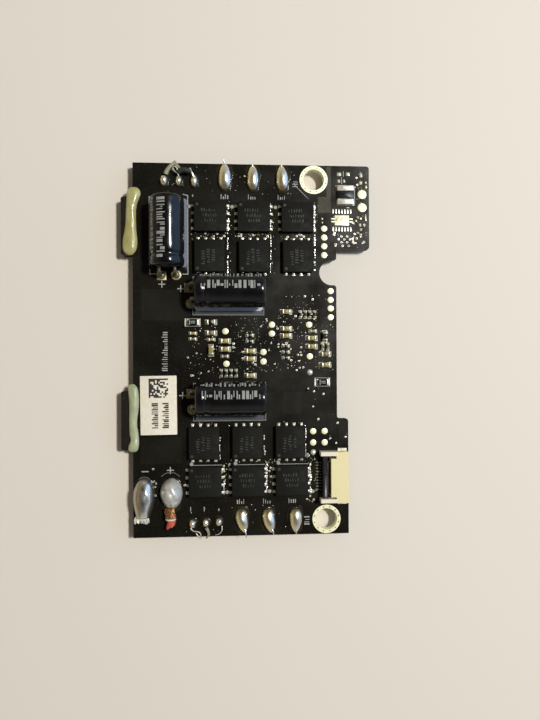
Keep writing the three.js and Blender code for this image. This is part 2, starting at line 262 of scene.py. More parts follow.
def metal_look(name, color, worn, grain, roughness=(0.2, 0.4), metallic=1.0):
    look = Look(name, color, roughness[0], metallic)
    look.tint(look.noise(grain * 4, 3), worn, 0.45, 0.7)
    look.rough(look.noise(grain * 2, 4), *roughness)
    look.bump(look.noise(grain, 3), 0.012, 0.5)
    return look


def solder_look(
    name, worn, grain, roughness, left_slope_reflection=(1.0, 0.90, 0.58), rim=(0.30, 0.26, 0.13), reach=-0.02
):
    """Satin solder: an amber reflection painted on its left slopes, a warmer tint painted on its
    right slopes to tone down the window's cool blue reflection there, and painted shade on its
    steep foot.
    """
    look = metal_look(name, (0.86, 0.85, 0.82), worn, grain, roughness, 0.88)
    # painted reflection: the slopes that face left tinted amber
    look.tint(look.axis("X", "Normal"), left_slope_reflection, reach, reach - 0.33)
    # painted against the light: the slopes that face right tinted warmer, against the window's blue
    # reflection
    look.tint(look.axis("X", "Normal"), (0.84, 0.79, 0.72), 0.3, 0.7)
    # painted shade: darker where the walls grow steep
    look.tint(look.axis("Z", "Normal"), rim, 0.74, 0.46)
    return look


def phase_solder_look():
    """Solder of the phase joints, with its painted yellow reflection spread over most of the left
    half, and darker towards their inner ends.
    """
    # reach 0.22 carries the painted yellow reflection past the middle of each joint
    look = solder_look("phase_solder", (0.66, 0.58, 0.40), 0.3, (0.18, 0.30), reach=0.22)
    outwards = look.maths("ABSOLUTE", look.axis("Y"))
    look.tint(outwards, (0.22, 0.16, 0.09), place(0, 58.8, 0).y, place(0, 57.9, 0).y)
    return look


def gold_look():
    look = Look("gold", (0.98, 0.95, 0.64), 0.35, 0.35)
    look.tint(look.noise(0.6, 3), (0.80, 0.76, 0.46), 0.5, 0.8)
    look.rough(look.noise(0.3, 4), 0.30, 0.55)
    look.bump(look.cells(0.10), 0.01, 0.6)
    return look


def flux_look():
    look = Look("flux", (0.026, 0.024, 0.010), 0.16, coat_weight=0.3)
    look.tint(look.noise(0.5, 3), (0.012, 0.011, 0.006))
    look.bump(look.noise(0.4, 2), 0.04)
    return look


def moulded_look(name, color, speck, roughness, grain=0.08, gloss=0.5):
    look = Look(name, color, roughness, specular=gloss)
    look.tint(look.noise(grain * 3, 5), speck, 0.5, 0.75)
    look.rough(look.noise(0.9, 3), roughness - 0.1, roughness + 0.12)
    look.bump(look.noise(grain, 3), 0.012, 0.8)
    return look


def cream_look():
    """Cream plastic, paler and pinker on the two thin arms than on the body between them."""
    look = moulded_look("cream", (0.82, 0.74, 0.62), (0.84, 0.77, 0.66), 0.46, 0.1)
    yellow = (0.79, 0.69, 0.385)
    middle = place(0, centre_of("connector_housing")[1], 0).y
    look.tint(look.maths("COMPARE", look.axis("Y"), middle, 3.5 * MM), yellow, 0, 1)
    root = place(33.9, 0, 0).x
    look.tint(look.axis("X"), yellow, root - 0.3 * MM, root)
    look.tint(look.noise(0.35, 4), (0.82, 0.74, 0.47), 0.5, 0.75)
    return look


def sleeve_look():
    look = Look("sleeve", (0.0042, 0.0042, 0.0046), 0.16, specular=0.36, coat_weight=0.15)
    look.tint(look.noise(3, 2), (0.007, 0.007, 0.008))
    look.rough(look.noise(1.2, 3), 0.12, 0.24)
    look.bump(look.noise(1.6, 2), 0.03, 0.35)
    look.bump(look.noise(0.12, 2), 0.003, 0.5)
    return look


def ink_look(name, color, spots):
    look = Look(name, color, 0.6)
    look.tint(look.noise(0.2, 4), spots, 0.5, 0.7)
    look.bump(look.noise(0.08, 3), 0.008)
    return look


def glue_look(name, color, deep):
    look = Look(name, color, 0.30, subsurface_weight=0.25, coat_weight=0.3)
    look.shader["Subsurface Scale"].default_value = 0.6 * MM
    look.tint(look.noise(2.2, 3), deep, 0.4, 0.65)
    look.rough(look.noise(0.7, 3), 0.22, 0.45)
    look.bump(look.noise(1.1, 3), 0.16, 0.6)
    look.bump(look.cells(0.35), 0.03, 0.3)
    return look


def paper_look():
    look = Look("paper", (0.80, 0.73, 0.60), 0.62)
    look.tint(look.noise(0.5, 5), (0.86, 0.80, 0.68), 0.4, 0.7)
    look.bump(look.noise(0.06, 4, (1, 3, 1)), 0.006)
    return look


def ceramic_look(name, color, spots):
    look = Look(name, color, 0.42)
    look.tint(look.noise(0.3, 4), spots, 0.45, 0.7)
    look.bump(look.noise(0.07, 3), 0.008)
    return look


def copper_look():
    look = Look("copper", (0.50, 0.24, 0.10), 0.4, 0.8)
    look.tint(look.noise(0.3, 3), (0.16, 0.07, 0.03), 0.45, 0.65)
    look.rough(look.noise(0.2, 3), 0.3, 0.6)
    look.bump(look.noise(0.1, 3), 0.02)
    return look


LOOK_ROWS = (
    (solder_mask_look, (
        # name, colour, colour of its clouds
        ("copper_mask", (0.0105, 0.0098, 0.007), (0.0155, 0.0145, 0.011)),
        ("pale_mask", (0.056, 0.053, 0.038), (0.066, 0.063, 0.047)),
    )),
    (solder_look, (
        # name, worn colour, grain, roughness, colour of the reflection painted on the left slopes,
        # of the shade painted on the steep foot
        ("solder", (0.62, 0.58, 0.48), 0.3, (0.20, 0.34)),
        ("stained_solder", (0.20, 0.16, 0.10), 0.36, (0.14, 0.24), (0.46, 0.40, 0.27),
         (0.34, 0.33, 0.34)),
    )),
    (metal_look, (
        # name, colour, worn colour, grain, roughness, metallic
        ("tin", (0.90, 0.88, 0.78), (0.55, 0.51, 0.40), 0.12, (0.25, 0.45), 0.5),
        # painted shade: the capacitor leads' tin darkened, for the shade and dark reflections round
        # them
        ("aged_tin", (0.26, 0.24, 0.18), (0.13, 0.11, 0.07), 0.2, (0.3, 0.45), 0.6),
        ("olive_tin", (0.40, 0.40, 0.24), (0.20, 0.20, 0.11), 0.2, (0.3, 0.45), 0.5),
        ("shaded_tin", (0.11, 0.10, 0.09), (0.06, 0.055, 0.045), 0.15, (0.3, 0.5), 0.5),
        ("chip_end", (0.62, 0.60, 0.48), (0.34, 0.32, 0.22), 0.1, (0.25, 0.45), 0.5),
        ("dull_solder", (0.62, 0.61, 0.57), (0.36, 0.35, 0.26), 0.32, (0.28, 0.46), 0.4),
        ("burnt_solder", (0.26, 0.21, 0.12), (0.09, 0.07, 0.04), 0.2, (0.2, 0.4), 0.6),
        ("tarnish", (0.42, 0.38, 0.23), (0.20, 0.16, 0.09), 0.2, (0.3, 0.5), 0.4),
        ("aluminium", (0.78, 0.79, 0.80), (0.6, 0.6, 0.6), 0.2, (0.25, 0.4)),
    )),
    (moulded_look, (
        # name, colour, colour of its specks, roughness, grain, gloss
        ("mould", (0.008, 0.0078, 0.006), (0.015, 0.0145, 0.0115), 0.62, 0.08, 0.12),
        ("chip_black", (0.008, 0.008, 0.009), (0.02, 0.02, 0.02), 0.3),
        ("block", (0.009, 0.007, 0.0045), (0.016, 0.013, 0.009), 0.5, 0.2, 0.2),
        ("latch", (0.016, 0.016, 0.022), (0.03, 0.03, 0.038), 0.32),
        ("rubber", (0.015, 0.015, 0.015), (0.04, 0.04, 0.04), 0.7),
        ("red", (0.50, 0.085, 0.045), (0.62, 0.16, 0.09), 0.55, 0.2),
        ("white", (0.62, 0.58, 0.50), (0.40, 0.34, 0.26), 0.6, 0.2),
    )),
    (ink_look, (
        # name, colour, colour of its spots
        ("silk", (0.37, 0.37, 0.35), (0.22, 0.22, 0.21)),
        ("silk_thin", (0.17, 0.17, 0.16), (0.11, 0.11, 0.10)),
        # painted light and shade: the same white fill ink dimmed and blued, painted bright, and
        # painted dark
        ("silk_fill", (0.175, 0.19, 0.25), (0.12, 0.13, 0.18)),
        ("silk_fill_2", (0.52, 0.55, 0.65), (0.36, 0.39, 0.48)),
        ("silk_fill_3", (0.055, 0.060, 0.075), (0.04, 0.044, 0.055)),
        ("faint_ink", (0.022, 0.022, 0.021), (0.011, 0.011, 0.010)),
        ("sleeve_ink", (0.31, 0.31, 0.29), (0.20, 0.20, 0.19)),
        ("label_ink", (0.014, 0.013, 0.012), (0.05, 0.045, 0.04)),
    )),
    (ceramic_look, (
        ("winding", (0.55, 0.46, 0.32), (0.42, 0.34, 0.22)),
        ("tan", (0.25, 0.20, 0.055), (0.34, 0.28, 0.10)),
        ("brown", (0.12, 0.095, 0.06), (0.17, 0.14, 0.09)),
        ("putty", (0.30, 0.28, 0.17), (0.20, 0.19, 0.11)),
    )),
    (glue_look, (
        ("glue_upper", (0.37, 0.35, 0.125), (0.45, 0.43, 0.21)),
        ("glue_lower", (0.33, 0.36, 0.20), (0.43, 0.45, 0.29)),
    )),
)


def make_looks():
    looks = [
        solder_mask_look(), board_look(), gold_look(), phase_solder_look(), flux_look(),
        cream_look(), sleeve_look(), paper_look(), copper_look(),
    ]
    for kind, rows in LOOK_ROWS:
        looks += [kind(*row) for row in rows]
    return {look.name: look.material for look in looks}


# ---------------------------------------------------------------- mesh building

class Builder:
    """Collects closed shells of one piece, in board coordinates about a movable centre.

    With below set, heights are measured down from the board's lower face instead.
    """

    def __init__(self, u=0.0, v=0.0, h=0.0, turn=0.0, below=False):
        self.points, self.faces, self.slots, self.materials = [], [], [], []
        self.below = below
        self.move(u, v, h, turn)

    def move(self, u, v, h=0.0, turn=0.0):
        self.centre = (u, v, h)
        self.cos, self.sin = math.cos(turn), math.sin(turn)
        return self

    def _world(self, p):
        u, v, h = self.centre
        u += p[0] * self.cos - p[1] * self.sin
        v += p[0] * self.sin + p[1] * self.cos
        return place(u, v, -THICKNESS - h - p[2] if self.below else h + p[2])

    def loft(self, rings, look, caps=True, loop=False):
        """Skins equal rings of points. Capped at both ends, or closed on itself with loop."""
        material = LOOKS[look]
        if material not in self.materials:
            self.materials.append(material)
        slot = self.materials.index(material)
        base, n = len(self.points), len(rings[0])
        for ring in rings:
            self.points.extend(self._world(p) for p in ring)
        new = []
        for i in range(len(rings) if loop else len(rings) - 1):
            a, b = base + i * n, base + (i + 1) % len(rings) * n
            for k in range(n):
                m = (k + 1) % n
                new.append((a + k, a + m, b + m, b + k))
        if caps and not loop:
            last = base + (len(rings) - 1) * n
            new.append(tuple(base + k for k in reversed(range(n))))
            new.append(tuple(last + k for k in range(n)))
        self.faces.extend(new)
        self.slots.extend([slot] * len(new))
        return self

    def slab(self, outline, h0, h1, look, bevel=0.0):
        """A plate of any outline, with its upper rim rounded by the bevel."""
        rings = [lift(outline, h0), lift(outline, h1 - bevel)]
        if bevel:
            rings.append(lift(inset(outline, bevel * 0.3), h1 - bevel * 0.3))
            rings.append(lift(inset(outline, bevel), h1))
        return self.loft(rings, look)

    def box(self, u0, u1, v0, v1, h0, h1, look, bevel=0.0, corner=0.0):
        return self.slab(rounded(u0, u1, v0, v1, corner or bevel), h0, h1, look, bevel)

    def plate(self, half_u, half_v, h0, h1, look, bevel=0.0, corner=0.0):
        """A box about the builder's centre."""
        return self.box(-half_u, half_u, -half_v, half_v, h0, h1, look, bevel, corner)

    def turned(self, profile, look, axis="h", sides=24, at=(0, 0, 0), loop=False):
        """A profile of (radius, distance along the axis) turned about u, v or h."""
        rings = []
        for radius, along in profile:
            ring = []
            for a in turns(sides):
                c, s = radius * math.cos(a), radius * math.sin(a)
                p = {"u": (along, c, s), "v": (s, along, c), "h": (c, s, along)}[axis]
                ring.append(tuple(p[i] + at[i] for i in range(3)))
            rings.append(ring)
        return self.loft(rings, look, loop=loop)

    def tube(self, path, radius, look, sides=10, smooth=4):
        """A round wire along a path, tapered to the radii given if radius is a pair."""
        points = spline(path, smooth)
        r0, r1 = radius if isinstance(radius, tuple) else (radius, radius)
        side = Vector((0.3, 0.2, 1)).normalized()
        rings = []
        for i, p in enumerate(points):
            ahead = points[min(i + 1, len(points) - 1)] - points[max(i - 1, 0)]
            ahead.normalize()
            side = (side - ahead * side.dot(ahead)).normalized()
            across = ahead.cross(side)
            r = r0 + (r1 - r0) * i / (len(points) - 1)
            ring = [p + (side * math.cos(a) + across * math.sin(a)) * r for a in turns(sides)]
            rings.append(ring)
        return self.loft(rings, look)

    def build(self, name, slot, replaces=(), body=ROOT, sharp=38, subdivide=0):
        mesh = bpy.data.meshes.new(name)
        mesh.from_pydata(self.points, [], self.faces)
        for material in self.materials:
            mesh.materials.append(material)
        mesh.polygons.foreach_set("material_index", self.slots)
        work = bmesh.new()
        work.from_mesh(mesh)
        bmesh.ops.recalc_face_normals(work, faces=work.faces)
        work.to_mesh(mesh)
        work.free()
        mesh.shade_smooth()
        mesh.set_sharp_from_angle(angle=math.radians(sharp))
        piece = bpy.data.objects.new(name, mesh)
        bpy.context.scene.collection.objects.link(piece)
        if subdivide:
            modifier = piece.modifiers.new("smooth", "SUBSURF")
            modifier.levels = modifier.render_levels = subdivide
        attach(piece, body)
        if replaces:
            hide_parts(*replaces)
        return piece


def lift(outline, h):
    """The outline's points at one height."""
    return [(p[0], p[1], h) for p in outline]


def inset(outline, distance):
    """The outline drawn in by a distance, corner by corner."""
    area = sum(p[0] * q[1] - q[0] * p[1] for p, q in zip(outline, outline[1:] + outline[:1]))
    way = 1 if area > 0 else -1
    result = []
    for i, p in enumerate(outline):
        before, after = outline[i - 1], outline[(i + 1) % len(outline)]
        a = (Vector(p[:2]) - Vector(before[:2])).normalized()
        b = (Vector(after[:2]) - Vector(p[:2])).normalized()
        normal = Vector((-(a.y + b.y), a.x + b.x)) * way
        if normal.length < 1e-6:
            normal = Vector((-a.y, a.x)) * way
        normal.normalize()
        reach = distance / max(0.5, normal.dot(Vector((-a.y, a.x)) * way))
        result.append((p[0] + normal.x * reach, p[1] + normal.y * reach))
    return result


def turns(count):
    """The angles that divide a full turn evenly."""
    return [2 * math.pi * k / count for k in range(count)]


def both_ways(near, far):
    """The span from near to far, mirrored on the low side and then as it is."""
    return (-far, -near), (near, far)


def arc(u, v, r, start, end, steps=4):
    turns = [math.radians(start + (end - start) * i / steps) for i in range(steps + 1)]
    return [(u + r * math.cos(a), v + r * math.sin(a)) for a in turns]


def circle(u, v, r, steps=24):
    return arc(u, v, r, 0, 360, steps)[:-1]


def rounded(u0, u1, v0, v1, r):
    """A rectangle's outline with its corners rounded to the radius."""
    if r <= 0:
        return [(u0, v0), (u1, v0), (u1, v1), (u0, v1)]
    r = min(r, (u1 - u0) / 2 - 1e-4, (v1 - v0) / 2 - 1e-4)
    return (
        arc(u1 - r, v0 + r, r, -90, 0, 3) + arc(u1 - r, v1 - r, r, 0, 90, 3)
        + arc(u0 + r, v1 - r, r, 90, 180, 3) + arc(u0 + r, v0 + r, r, 180, 270, 3)
    )


def spline(path, steps):
    """Points of a smooth curve through the path."""
    p = [Vector(q) for q in path]
    last = len(p) - 1
    result = []
    for i in range(last):
        a, b, c, d = (p[min(max(i + k, 0), last)] for k in range(-1, 3))
        for s in range(steps):
            t = s / steps
            cubic = (2 * b) + (c - a) * t + (2 * a - 5 * b + 4 * c - d) * t**2
            result.append((cubic + (3 * b - a - 3 * c + d) * t**3) / 2)
    return result + [p[-1]]


LOOKS = make_looks()


# ---------------------------------------------------------------- printed marks

def ticks(
    b, u0, v0, u1, v1, height, look, h, rng, pitch, thick=0.018, widths=(0.28, 0.4, 0.55)
):
    """A row of plain upright bars of mixed length, in place of printed words."""
    start, end = Vector((u0, v0)), Vector((u1, v1))
    run = (end - start).normalized()
    across = Vector((-run.y, run.x))
    count = int((end - start).length / pitch)
    for i in range(count):
        long = height * rng.choice((0.55, 0.8, 1.0, 1.0))
        wide = pitch * rng.choice(widths)
        foot = start + run * (i * pitch)
        corners = [foot, foot + run * wide, foot + run * wide + across * long, foot + across * long]
        b.slab([tuple(p) for p in corners], h, h + thick, look)


def line(b, path, width, look, h=0.0, thick=0.02):
    """A printed or etched line through the points, with mitred corners."""
    p = [Vector(q) for q in path]
    left, right = [], []
    for i, q in enumerate(p):
        before = (q - p[i - 1]).normalized() if i else (p[1] - q).normalized()
        after = (p[i + 1] - q).normalized() if i < len(p) - 1 else before
        normal = Vector((-(before.y + after.y), before.x + after.x)).normalized()
        reach = width / 2 / max(0.5, normal.dot(Vector((-before.y, before.x))))
        left.append(tuple(q + normal * reach))
        right.append(tuple(q - normal * reach))
    b.slab(left + right[::-1], h, h + thick, look)


def cross(b, u, v, size, look, upright):
    """A printed plus, or a minus when not upright."""
    half, wide = size / 2, 0.09
    b.box(u - half, u + half, v - wide, v + wide, 0, 0.02, look)
    if upright:
        b.box(u - wide, u + wide, v - half, v - wide - 0.001, 0, 0.02, look)
        b.box(u - wide, u + wide, v + wide + 0.001, v + half, 0, 0.02, look)


# ---------------------------------------------------------------- board

CAP_OUTLINES = [
    # edges of the printed outline round each capacitor
    ("silk", [(2.8, 44.6), (2.8, 43.75), (3.7, 43.75)]),
    ("silk", [(8.2, 43.75), (9.1, 43.75), (9.1, 56.9), (8.3, 57.1)]),
    ("silk", [(2.75, 45.2), (2.75, 56.6), (3.3, 56.9)]),
    ("silk_thin", [(9.9, 38.0), (9.9, 36.95), (21.75, 36.95), (21.75, 38.2)]),
    ("silk_thin", [(9.95, 42.4), (9.95, 43.3), (10.7, 43.3)]),
    ("silk_thin", [(9.95, 20.3), (9.95, 19.25), (22.0, 19.25), (22.0, 20.6)]),
    ("silk_thin", [(10.5, 25.5), (9.95, 25.5), (9.95, 24.7)]),
    ("silk_thin", [(22.0, 23.2), (22.0, 25.6), (21.4, 25.6)]),
]
CAP_STRIPS = [
    # lowest and highest u, lowest and highest v of a filled area, look. One white ink in painted
    # light and shade: dimmed and blued beside the first capacitor, painted bright in the band the
    # other capacitors shadow, painted dark in the band below it
    (7.6, 9.0, 44.9, 56.4, "silk_fill"), (10.2, 21.6, 37.62, 39.0, "silk_fill_2"),
    (10.2, 21.6, 37.05, 37.62, "silk_fill_3"), (10.3, 21.8, 20.05, 21.2, "silk_fill_2"),
    (10.3, 21.8, 19.35, 20.05, "silk_fill_3"),
]
POLARITY = [
    # centre of each plus, or minus when False
    (4.78, 42.05, True), (7.9, 41.3, True), (8.15, 23.5, True), (6.1, 11.1, True),
    (1.95, 10.95, False),
]
PRINTED_BARS = [
    # start, end, height and pitch of each row that stands for a printed name or number
    (5.7, 27.6, 5.7, 34.3, 0.95, 0.37),
    *[(u - 0.35, 56.7, u + 0.4, 56.7, 0.7, 0.38) for u in (5.2, 7.7, 10.2)],
    *[(u - 0.7, 56.4, u + 0.75, 56.4, 0.8, 0.36) for u in (15.3, 19.9, 24.9)],
    *[(u - 0.3, 4.2, u + 0.35, 4.2, 0.75, 0.34) for u in (9.65, 11.9, 14.3)],
    *[(u - 0.7, 5.3, u + 0.75, 5.3, 0.8, 0.36) for u in (17.8, 22.2, 26.5)],
    (27.6, 58.6, 27.6, 60.0, 0.9, 0.4), (29.3, 1.6, 29.3, 3.2, 0.9, 0.4),
]
PRINTED_DOTS = [
    (9.3, 55.1), (16.5, 55.1), (23.8, 55.1), (9.6, 12.05), (16.9, 12.05), (24.1, 12.05),
    (15.45, 7.3), (22.6, 7.35), (29.9, 7.2),
]
PRINTED_LINES = [
    # points, width
    ([(27.0, 59.0), (29.4, 56.6)], 0.1), ([(34.1, 59.0), (34.1, 55.6)], 0.12),
    ([(37.3, 55.6), (37.3, 58.9)], 0.14), ([(35.1, 59.2), (35.1, 60.4)], 0.12),
    ([(35.4, 60.5), (35.4, 61.4)], 0.12), ([(8.5, 35.05), (11.2, 35.05)], 0.08),
    ([(8.5, 36.3), (11.2, 36.3)], 0.08), ([(30.2, 24.9), (33.0, 24.9)], 0.08),
    ([(30.2, 26.3), (33.0, 26.3)], 0.08),
]
TRACES = [
    # points of the copper lines that show under the mask
    [(27.3, 58.4), (29.6, 56.2), (29.6, 55.0)], [(29.95, 40.3), (29.95, 43.6), (28.6, 44.9)],
    [(26.0, 24.25), (30.4, 24.25)], [(28.2, 19.6), (28.2, 23.9)], [(23.55, 19.6), (23.55, 25.2)],
    [(0.8, 42.0), (0.8, 47.8)], [(1.2, 35.0), (8.3, 35.0), (9.6, 33.7)], [(1.2, 29.0), (8.0, 29.0)],
    [(8.3, 29.5), (8.3, 35.0)], [(24.3, 26.9), (28.9, 26.9), (28.9, 20.0)],
    [(31.2, 35.4), (31.2, 40.8)], [(24.0, 38.6), (24.0, 43.0)], [(10.7, 26.3), (10.7, 31.8)],
    [(22.4, 36.2), (22.4, 31.8)], [(27.4, 28.6), (27.4, 35.6)], [(9.2, 57.9), (9.2, 61.0)],
]
PLANES = [
    # lowest and highest u, lowest and highest v of the copper areas that show under the mask
    (24.9, 28.1, 20.3, 23.9), (1.2, 8.0, 12.2, 16.6), (1.4, 9.4, 36.0, 41.2),
    (23.8, 29.3, 38.9, 43.0), (34.4, 35.8, 14.9, 19.0),
]
BARE_AREA = [(31.0, 54.3), (33.25, 54.3), (33.25, 62.1), (32.5, 62.1), (32.5, 57.0), (31.0, 57.0)]


def make_board():
    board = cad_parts["circuit_board"]
    board.data.materials.clear()
    board.data.materials.append(LOOKS["board"])
    relief = Builder()
    for path in TRACES:
        line(relief, path, 0.28, "mask", -0.01, 0.035)
    relief.slab(BARE_AREA, -0.01, 0.008, "pale_mask")
    for area in PLANES:
        relief.box(*area, -0.01, 0.008, "copper_mask")
    relief.build("masked_copper", "solder_mask")


def make_silkscreen():
    rng = random.Random(11)
    b = Builder()
    for look, path in CAP_OUTLINES:
        line(b, path, 0.15, look)
    for u0, u1, v0, v1, look in CAP_STRIPS:
        b.box(u0, u1, v0, v1, 0, 0.016, look, corner=min(0.5, 0.35 * (v1 - v0)))
    for u, v, upright in POLARITY:
        cross(b, u, v, 1.15, "silk", upright)
    for u0, v0, u1, v1, height, pitch in PRINTED_BARS:
        ticks(b, u0, v0, u1, v1, height, "silk", 0, rng, pitch)
    for v, starts in ((55.95, (10.6, 17.8, 25.1)), (11.85, (9.8, 16.9, 24.3))):
        for u in starts:
            line(b, [(u, v), (u + 4.9, v)], 0.09, "silk")
    for u, v in PRINTED_DOTS:
        b.slab(circle(u, v, 0.3, 14), 0, 0.02, "silk")
    for path, width in PRINTED_LINES:
        line(b, path, width, "silk")
    for u, radius in ((1.8, 1.25), (6.1, 1.95)):
        line(b, arc(u, 8.8, radius, 40, 140, 8), 0.08, "silk_thin")
    b.build("printed_marks", "capacitor_sleeve")


# ---------------------------------------------------------------- pads and vias

GOLD_PADS = [
    (32.05, 51.6), (32.05, 50.1), (32.05, 48.6), (32.05, 47.1), (33.1, 41.0), (33.1, 39.5),
    (33.1, 38.05), (33.1, 36.55), (23.1, 35.3), (23.1, 33.8), (29.4, 35.3), (29.5, 29.95),
    (21.65, 30.7), (21.65, 29.1), (15.3, 34.2), (15.45, 28.75), (30.0, 17.3), (31.95, 17.3),
    (30.0, 15.4), (31.95, 15.4),
]
LARGE_PADS = [(38.6, 57.5), (38.6, 55.25)]
# test pads that carry a dome of solder
TIN_DOMES = [(29.5, 27.25), (30.0, 13.75)]
VIA_AREAS = [
    # lowest u and v, highest u and v, number of vias
    (8.8, 26.2, 13.6, 32.0, 16), (16.3, 27.8, 24.3, 36.6, 34), (24.2, 27.6, 28.5, 32.6, 18),
    (26.2, 35.6, 32.4, 40.4, 22), (33.6, 48.6, 37.6, 50.9, 16), (36.9, 49.0, 39.3, 54.0, 14),
    (28.8, 18.2, 33.6, 24.6, 8), (11.6, 50.1, 15.2, 50.6, 5), (17.0, 50.1, 22.5, 50.6, 8),
    (25.0, 50.1, 28.8, 50.6, 6), (28.6, 5.6, 30.6, 12.6, 12), (37.2, 59.0, 39.4, 61.8, 6),
    (14.6, 9.6, 15.9, 12.2, 5), (21.9, 9.6, 23.2, 12.2, 5), (3.2, 6.0, 3.9, 11.6, 5),
    (8.2, 7.0, 8.9, 12.0, 5), (28.4, 13.0, 29.2, 18.4, 7), (32.8, 14.9, 35.6, 18.9, 6),
]
SOLDERED_VIAS = [
    (34.5, 49.8), (35.5, 49.8), (36.5, 49.8), (35.0, 50.3), (36.0, 50.3), (35.0, 49.3),
    (36.0, 49.3), (35.2, 48.7), (36.25, 48.7), (37.65, 50.0), (38.85, 49.4), (34.0, 48.95),
]


def via(b, u, v, r, look):
    """The raised rim of a plated hole, with mask in its middle."""
    b.move(u, v)
    rim = [(r, 0), (r, 0.022), (r * 0.86, 0.03), (r * 0.52, 0.022), (r * 0.45, 0), (r * 0.7, -0.01)]
    b.turned(rim, look, sides=10, loop=True)
    b.turned([(r * 0.5, -0.005), (r * 0.5, 0.006)], "mask", sides=10)


def make_pads():
    b = Builder()
    for u, v in GOLD_PADS:
        b.slab(circle(u, v, 0.52, 28), 0, 0.04, "gold", bevel=0.02)
    for u, v in LARGE_PADS:
        b.slab(circle(u, v, 0.76, 36), 0, 0.045, "gold", bevel=0.02)
    b.build("test_pads", "gold_plating")
    domes = Builder()
    for u, v in TIN_DOMES:
        domes.move(u, v)
        domes.turned([(0.50, 0), (0.48, 0.06), (0.40, 0.2), (0.26, 0.29), (0.08, 0.33)], "tin")
    domes.build("tinned_test_pads", "solder")


def make_vias():
    rng = random.Random(4)
    bare, covered = Builder(), Builder()
    taken = GOLD_PADS + LARGE_PADS + TIN_DOMES
    for u0, v0, u1, v1, count in VIA_AREAS:
        for _ in range(count):
            u, v = rng.uniform(u0, u1), rng.uniform(v0, v1)
            if any(math.hypot(u - p[0], v - p[1]) < 0.95 for p in taken):
                continue
            if rng.random() < 0.55:
                via(bare, u, v, rng.uniform(0.13, 0.2), "tin")
            else:
                via(covered, u, v, rng.uniform(0.16, 0.22), "mask")
    for u, v in SOLDERED_VIAS:
        via(bare, u, v, 0.2, "dull_solder")
    bare.build("bare_vias", "tinned_metal")
    covered.build("covered_vias", "solder_mask")


def make_screw_rings():
    for end in ("upper", "lower"):
        node = f"screw_hole_ring_{end}"
        (u0, v0, h0), (u1, _, h1) = board_box(node)
        outer = (u1 - u0) / 2
        inner, wall = outer - 0.65, outer - 0.56
        b = Builder((u0 + u1) / 2, v0 + outer)
        r = 0.02
        profile = [
            (inner, h0 + r), (inner + r, h0), (outer - r, h0), (outer, h0 + r),
            (outer, -THICKNESS + 0.001), (wall, -THICKNESS + 0.001), (wall, -0.001),
            (outer, -0.001), (outer, h1 - r), (outer - r, h1), (inner + 0.06, h1),
            (inner, h1 - 0.05),
        ]
        b.turned(profile, "gold", sides=64, loop=True)
        middle = (inner + outer) / 2
        for u, v in arc(0, 0, middle, 15, 345, 11):
            b.slab(circle(u, v, 0.105, 10), h1 - 0.01, h1 + 0.004, "flux")
        b.build(f"plated_ring_{end}", "gold_plating", [node])


# ---------------------------------------------------------------- chips

def chip(b, u, v, turn, size, body, rng):
    """A two-ended chip on its pads, with a solder fillet at each end."""
    length, width, height = size
    b.move(u, v, 0, turn + rng.uniform(-0.03, 0.03))
    half, cap = length / 2, length * 0.3
    pad = half + length * 0.26
    b.plate(cap, width / 2 - 0.02, 0.03, height, body, bevel=0.04)
    for span in both_ways(cap, half):
        b.box(*span, -width / 2, width / 2, 0.02, height + 0.03, "chip_end", bevel=0.06)
    for span in both_ways(cap, pad):
        b.box(*span, -width / 2 - 0.05, width / 2 + 0.05, 0, 0.03, "chip_end", corner=0.05)
    # per level: half width and height at the chip, then distance, half width and height outside
    fillet = (
        (0.48, 0.03, pad - 0.05, 0.42, 0.03),
        (0.45, height * 0.35, (half * 2 + pad) / 3, 0.36, height * 0.3),
        (0.40, height * 0.75, half + 0.04, 0.30, height * 0.7),
    )
    for side in (-1, 1):
        rings = []
        for wide, top, reach, narrow, foot in fillet:
            x0, x1, y0, y1 = side * half, side * reach, width * wide, width * narrow
            rings.append([(x0, -y0, top), (x1, -y1, foot), (x1, y1, foot), (x0, y0, top)])
        b.loft(rings, "chip_end")


UPRIGHT = math.pi / 2
# length, width and height of the chips
SIZE_0603, SIZE_0402 = (1.36, 0.8, 0.78), (0.92, 0.46, 0.45)
# spacing of a transistor's leads, and of the finest contacts
LEAD_PITCH, FINE_PITCH = 1.27, 0.5
MEDIUM_CHIPS = [
    # centre u and v, turn, body
    (25.5, 37.45, 0, "tan"), (25.5, 34.6, 0, "tan"), (25.5, 33.4, 0, "tan"), (29.8, 33.0, 0, "tan"),
    (29.8, 31.6, 0, "tan"), (32.1, 30.3, 0, "brown"), (32.1, 28.5, 0, "tan"),
    (15.2, 32.55, 0, "tan"),
    (15.2, 31.2, 0, "tan"), (19.45, 30.85, 0, "tan"), (19.45, 29.55, 0, "tan"),
    (19.45, 26.75, 0, "tan"),
    (12.9, 35.7, 0, "chip_black"), (12.9, 33.9, 0, "brown"), (12.9, 31.0, UPRIGHT, "tan"),
    (32.05, 33.3, UPRIGHT, "chip_black"),
]
SMALL_CHIPS = (
    [(9.9, 33.85, 0, "tan"), (9.9, 32.9, 0, "brown"), (12.95, 32.8, 0, "tan"),
     (15.2, 30.0, 0, "brown"),
     (30.05, 34.2, 0, "tan"), (19.4, 33.5, 0, "chip_black"), (19.4, 32.5, 0, "chip_black"),
     (31.65, 31.55, UPRIGHT, "brown"), (32.55, 31.55, UPRIGHT, "brown")]
    + [(25.45, v, 0, "chip_black") for v in (31.7, 30.7, 29.7)]
    + [(u, 27.2, UPRIGHT, "chip_black") for u in (14.55, 15.4, 16.2, 17.05)]
    + [(u, 37.0, UPRIGHT, "chip_black") for u in (27.9, 28.75, 29.5, 30.35)]
)


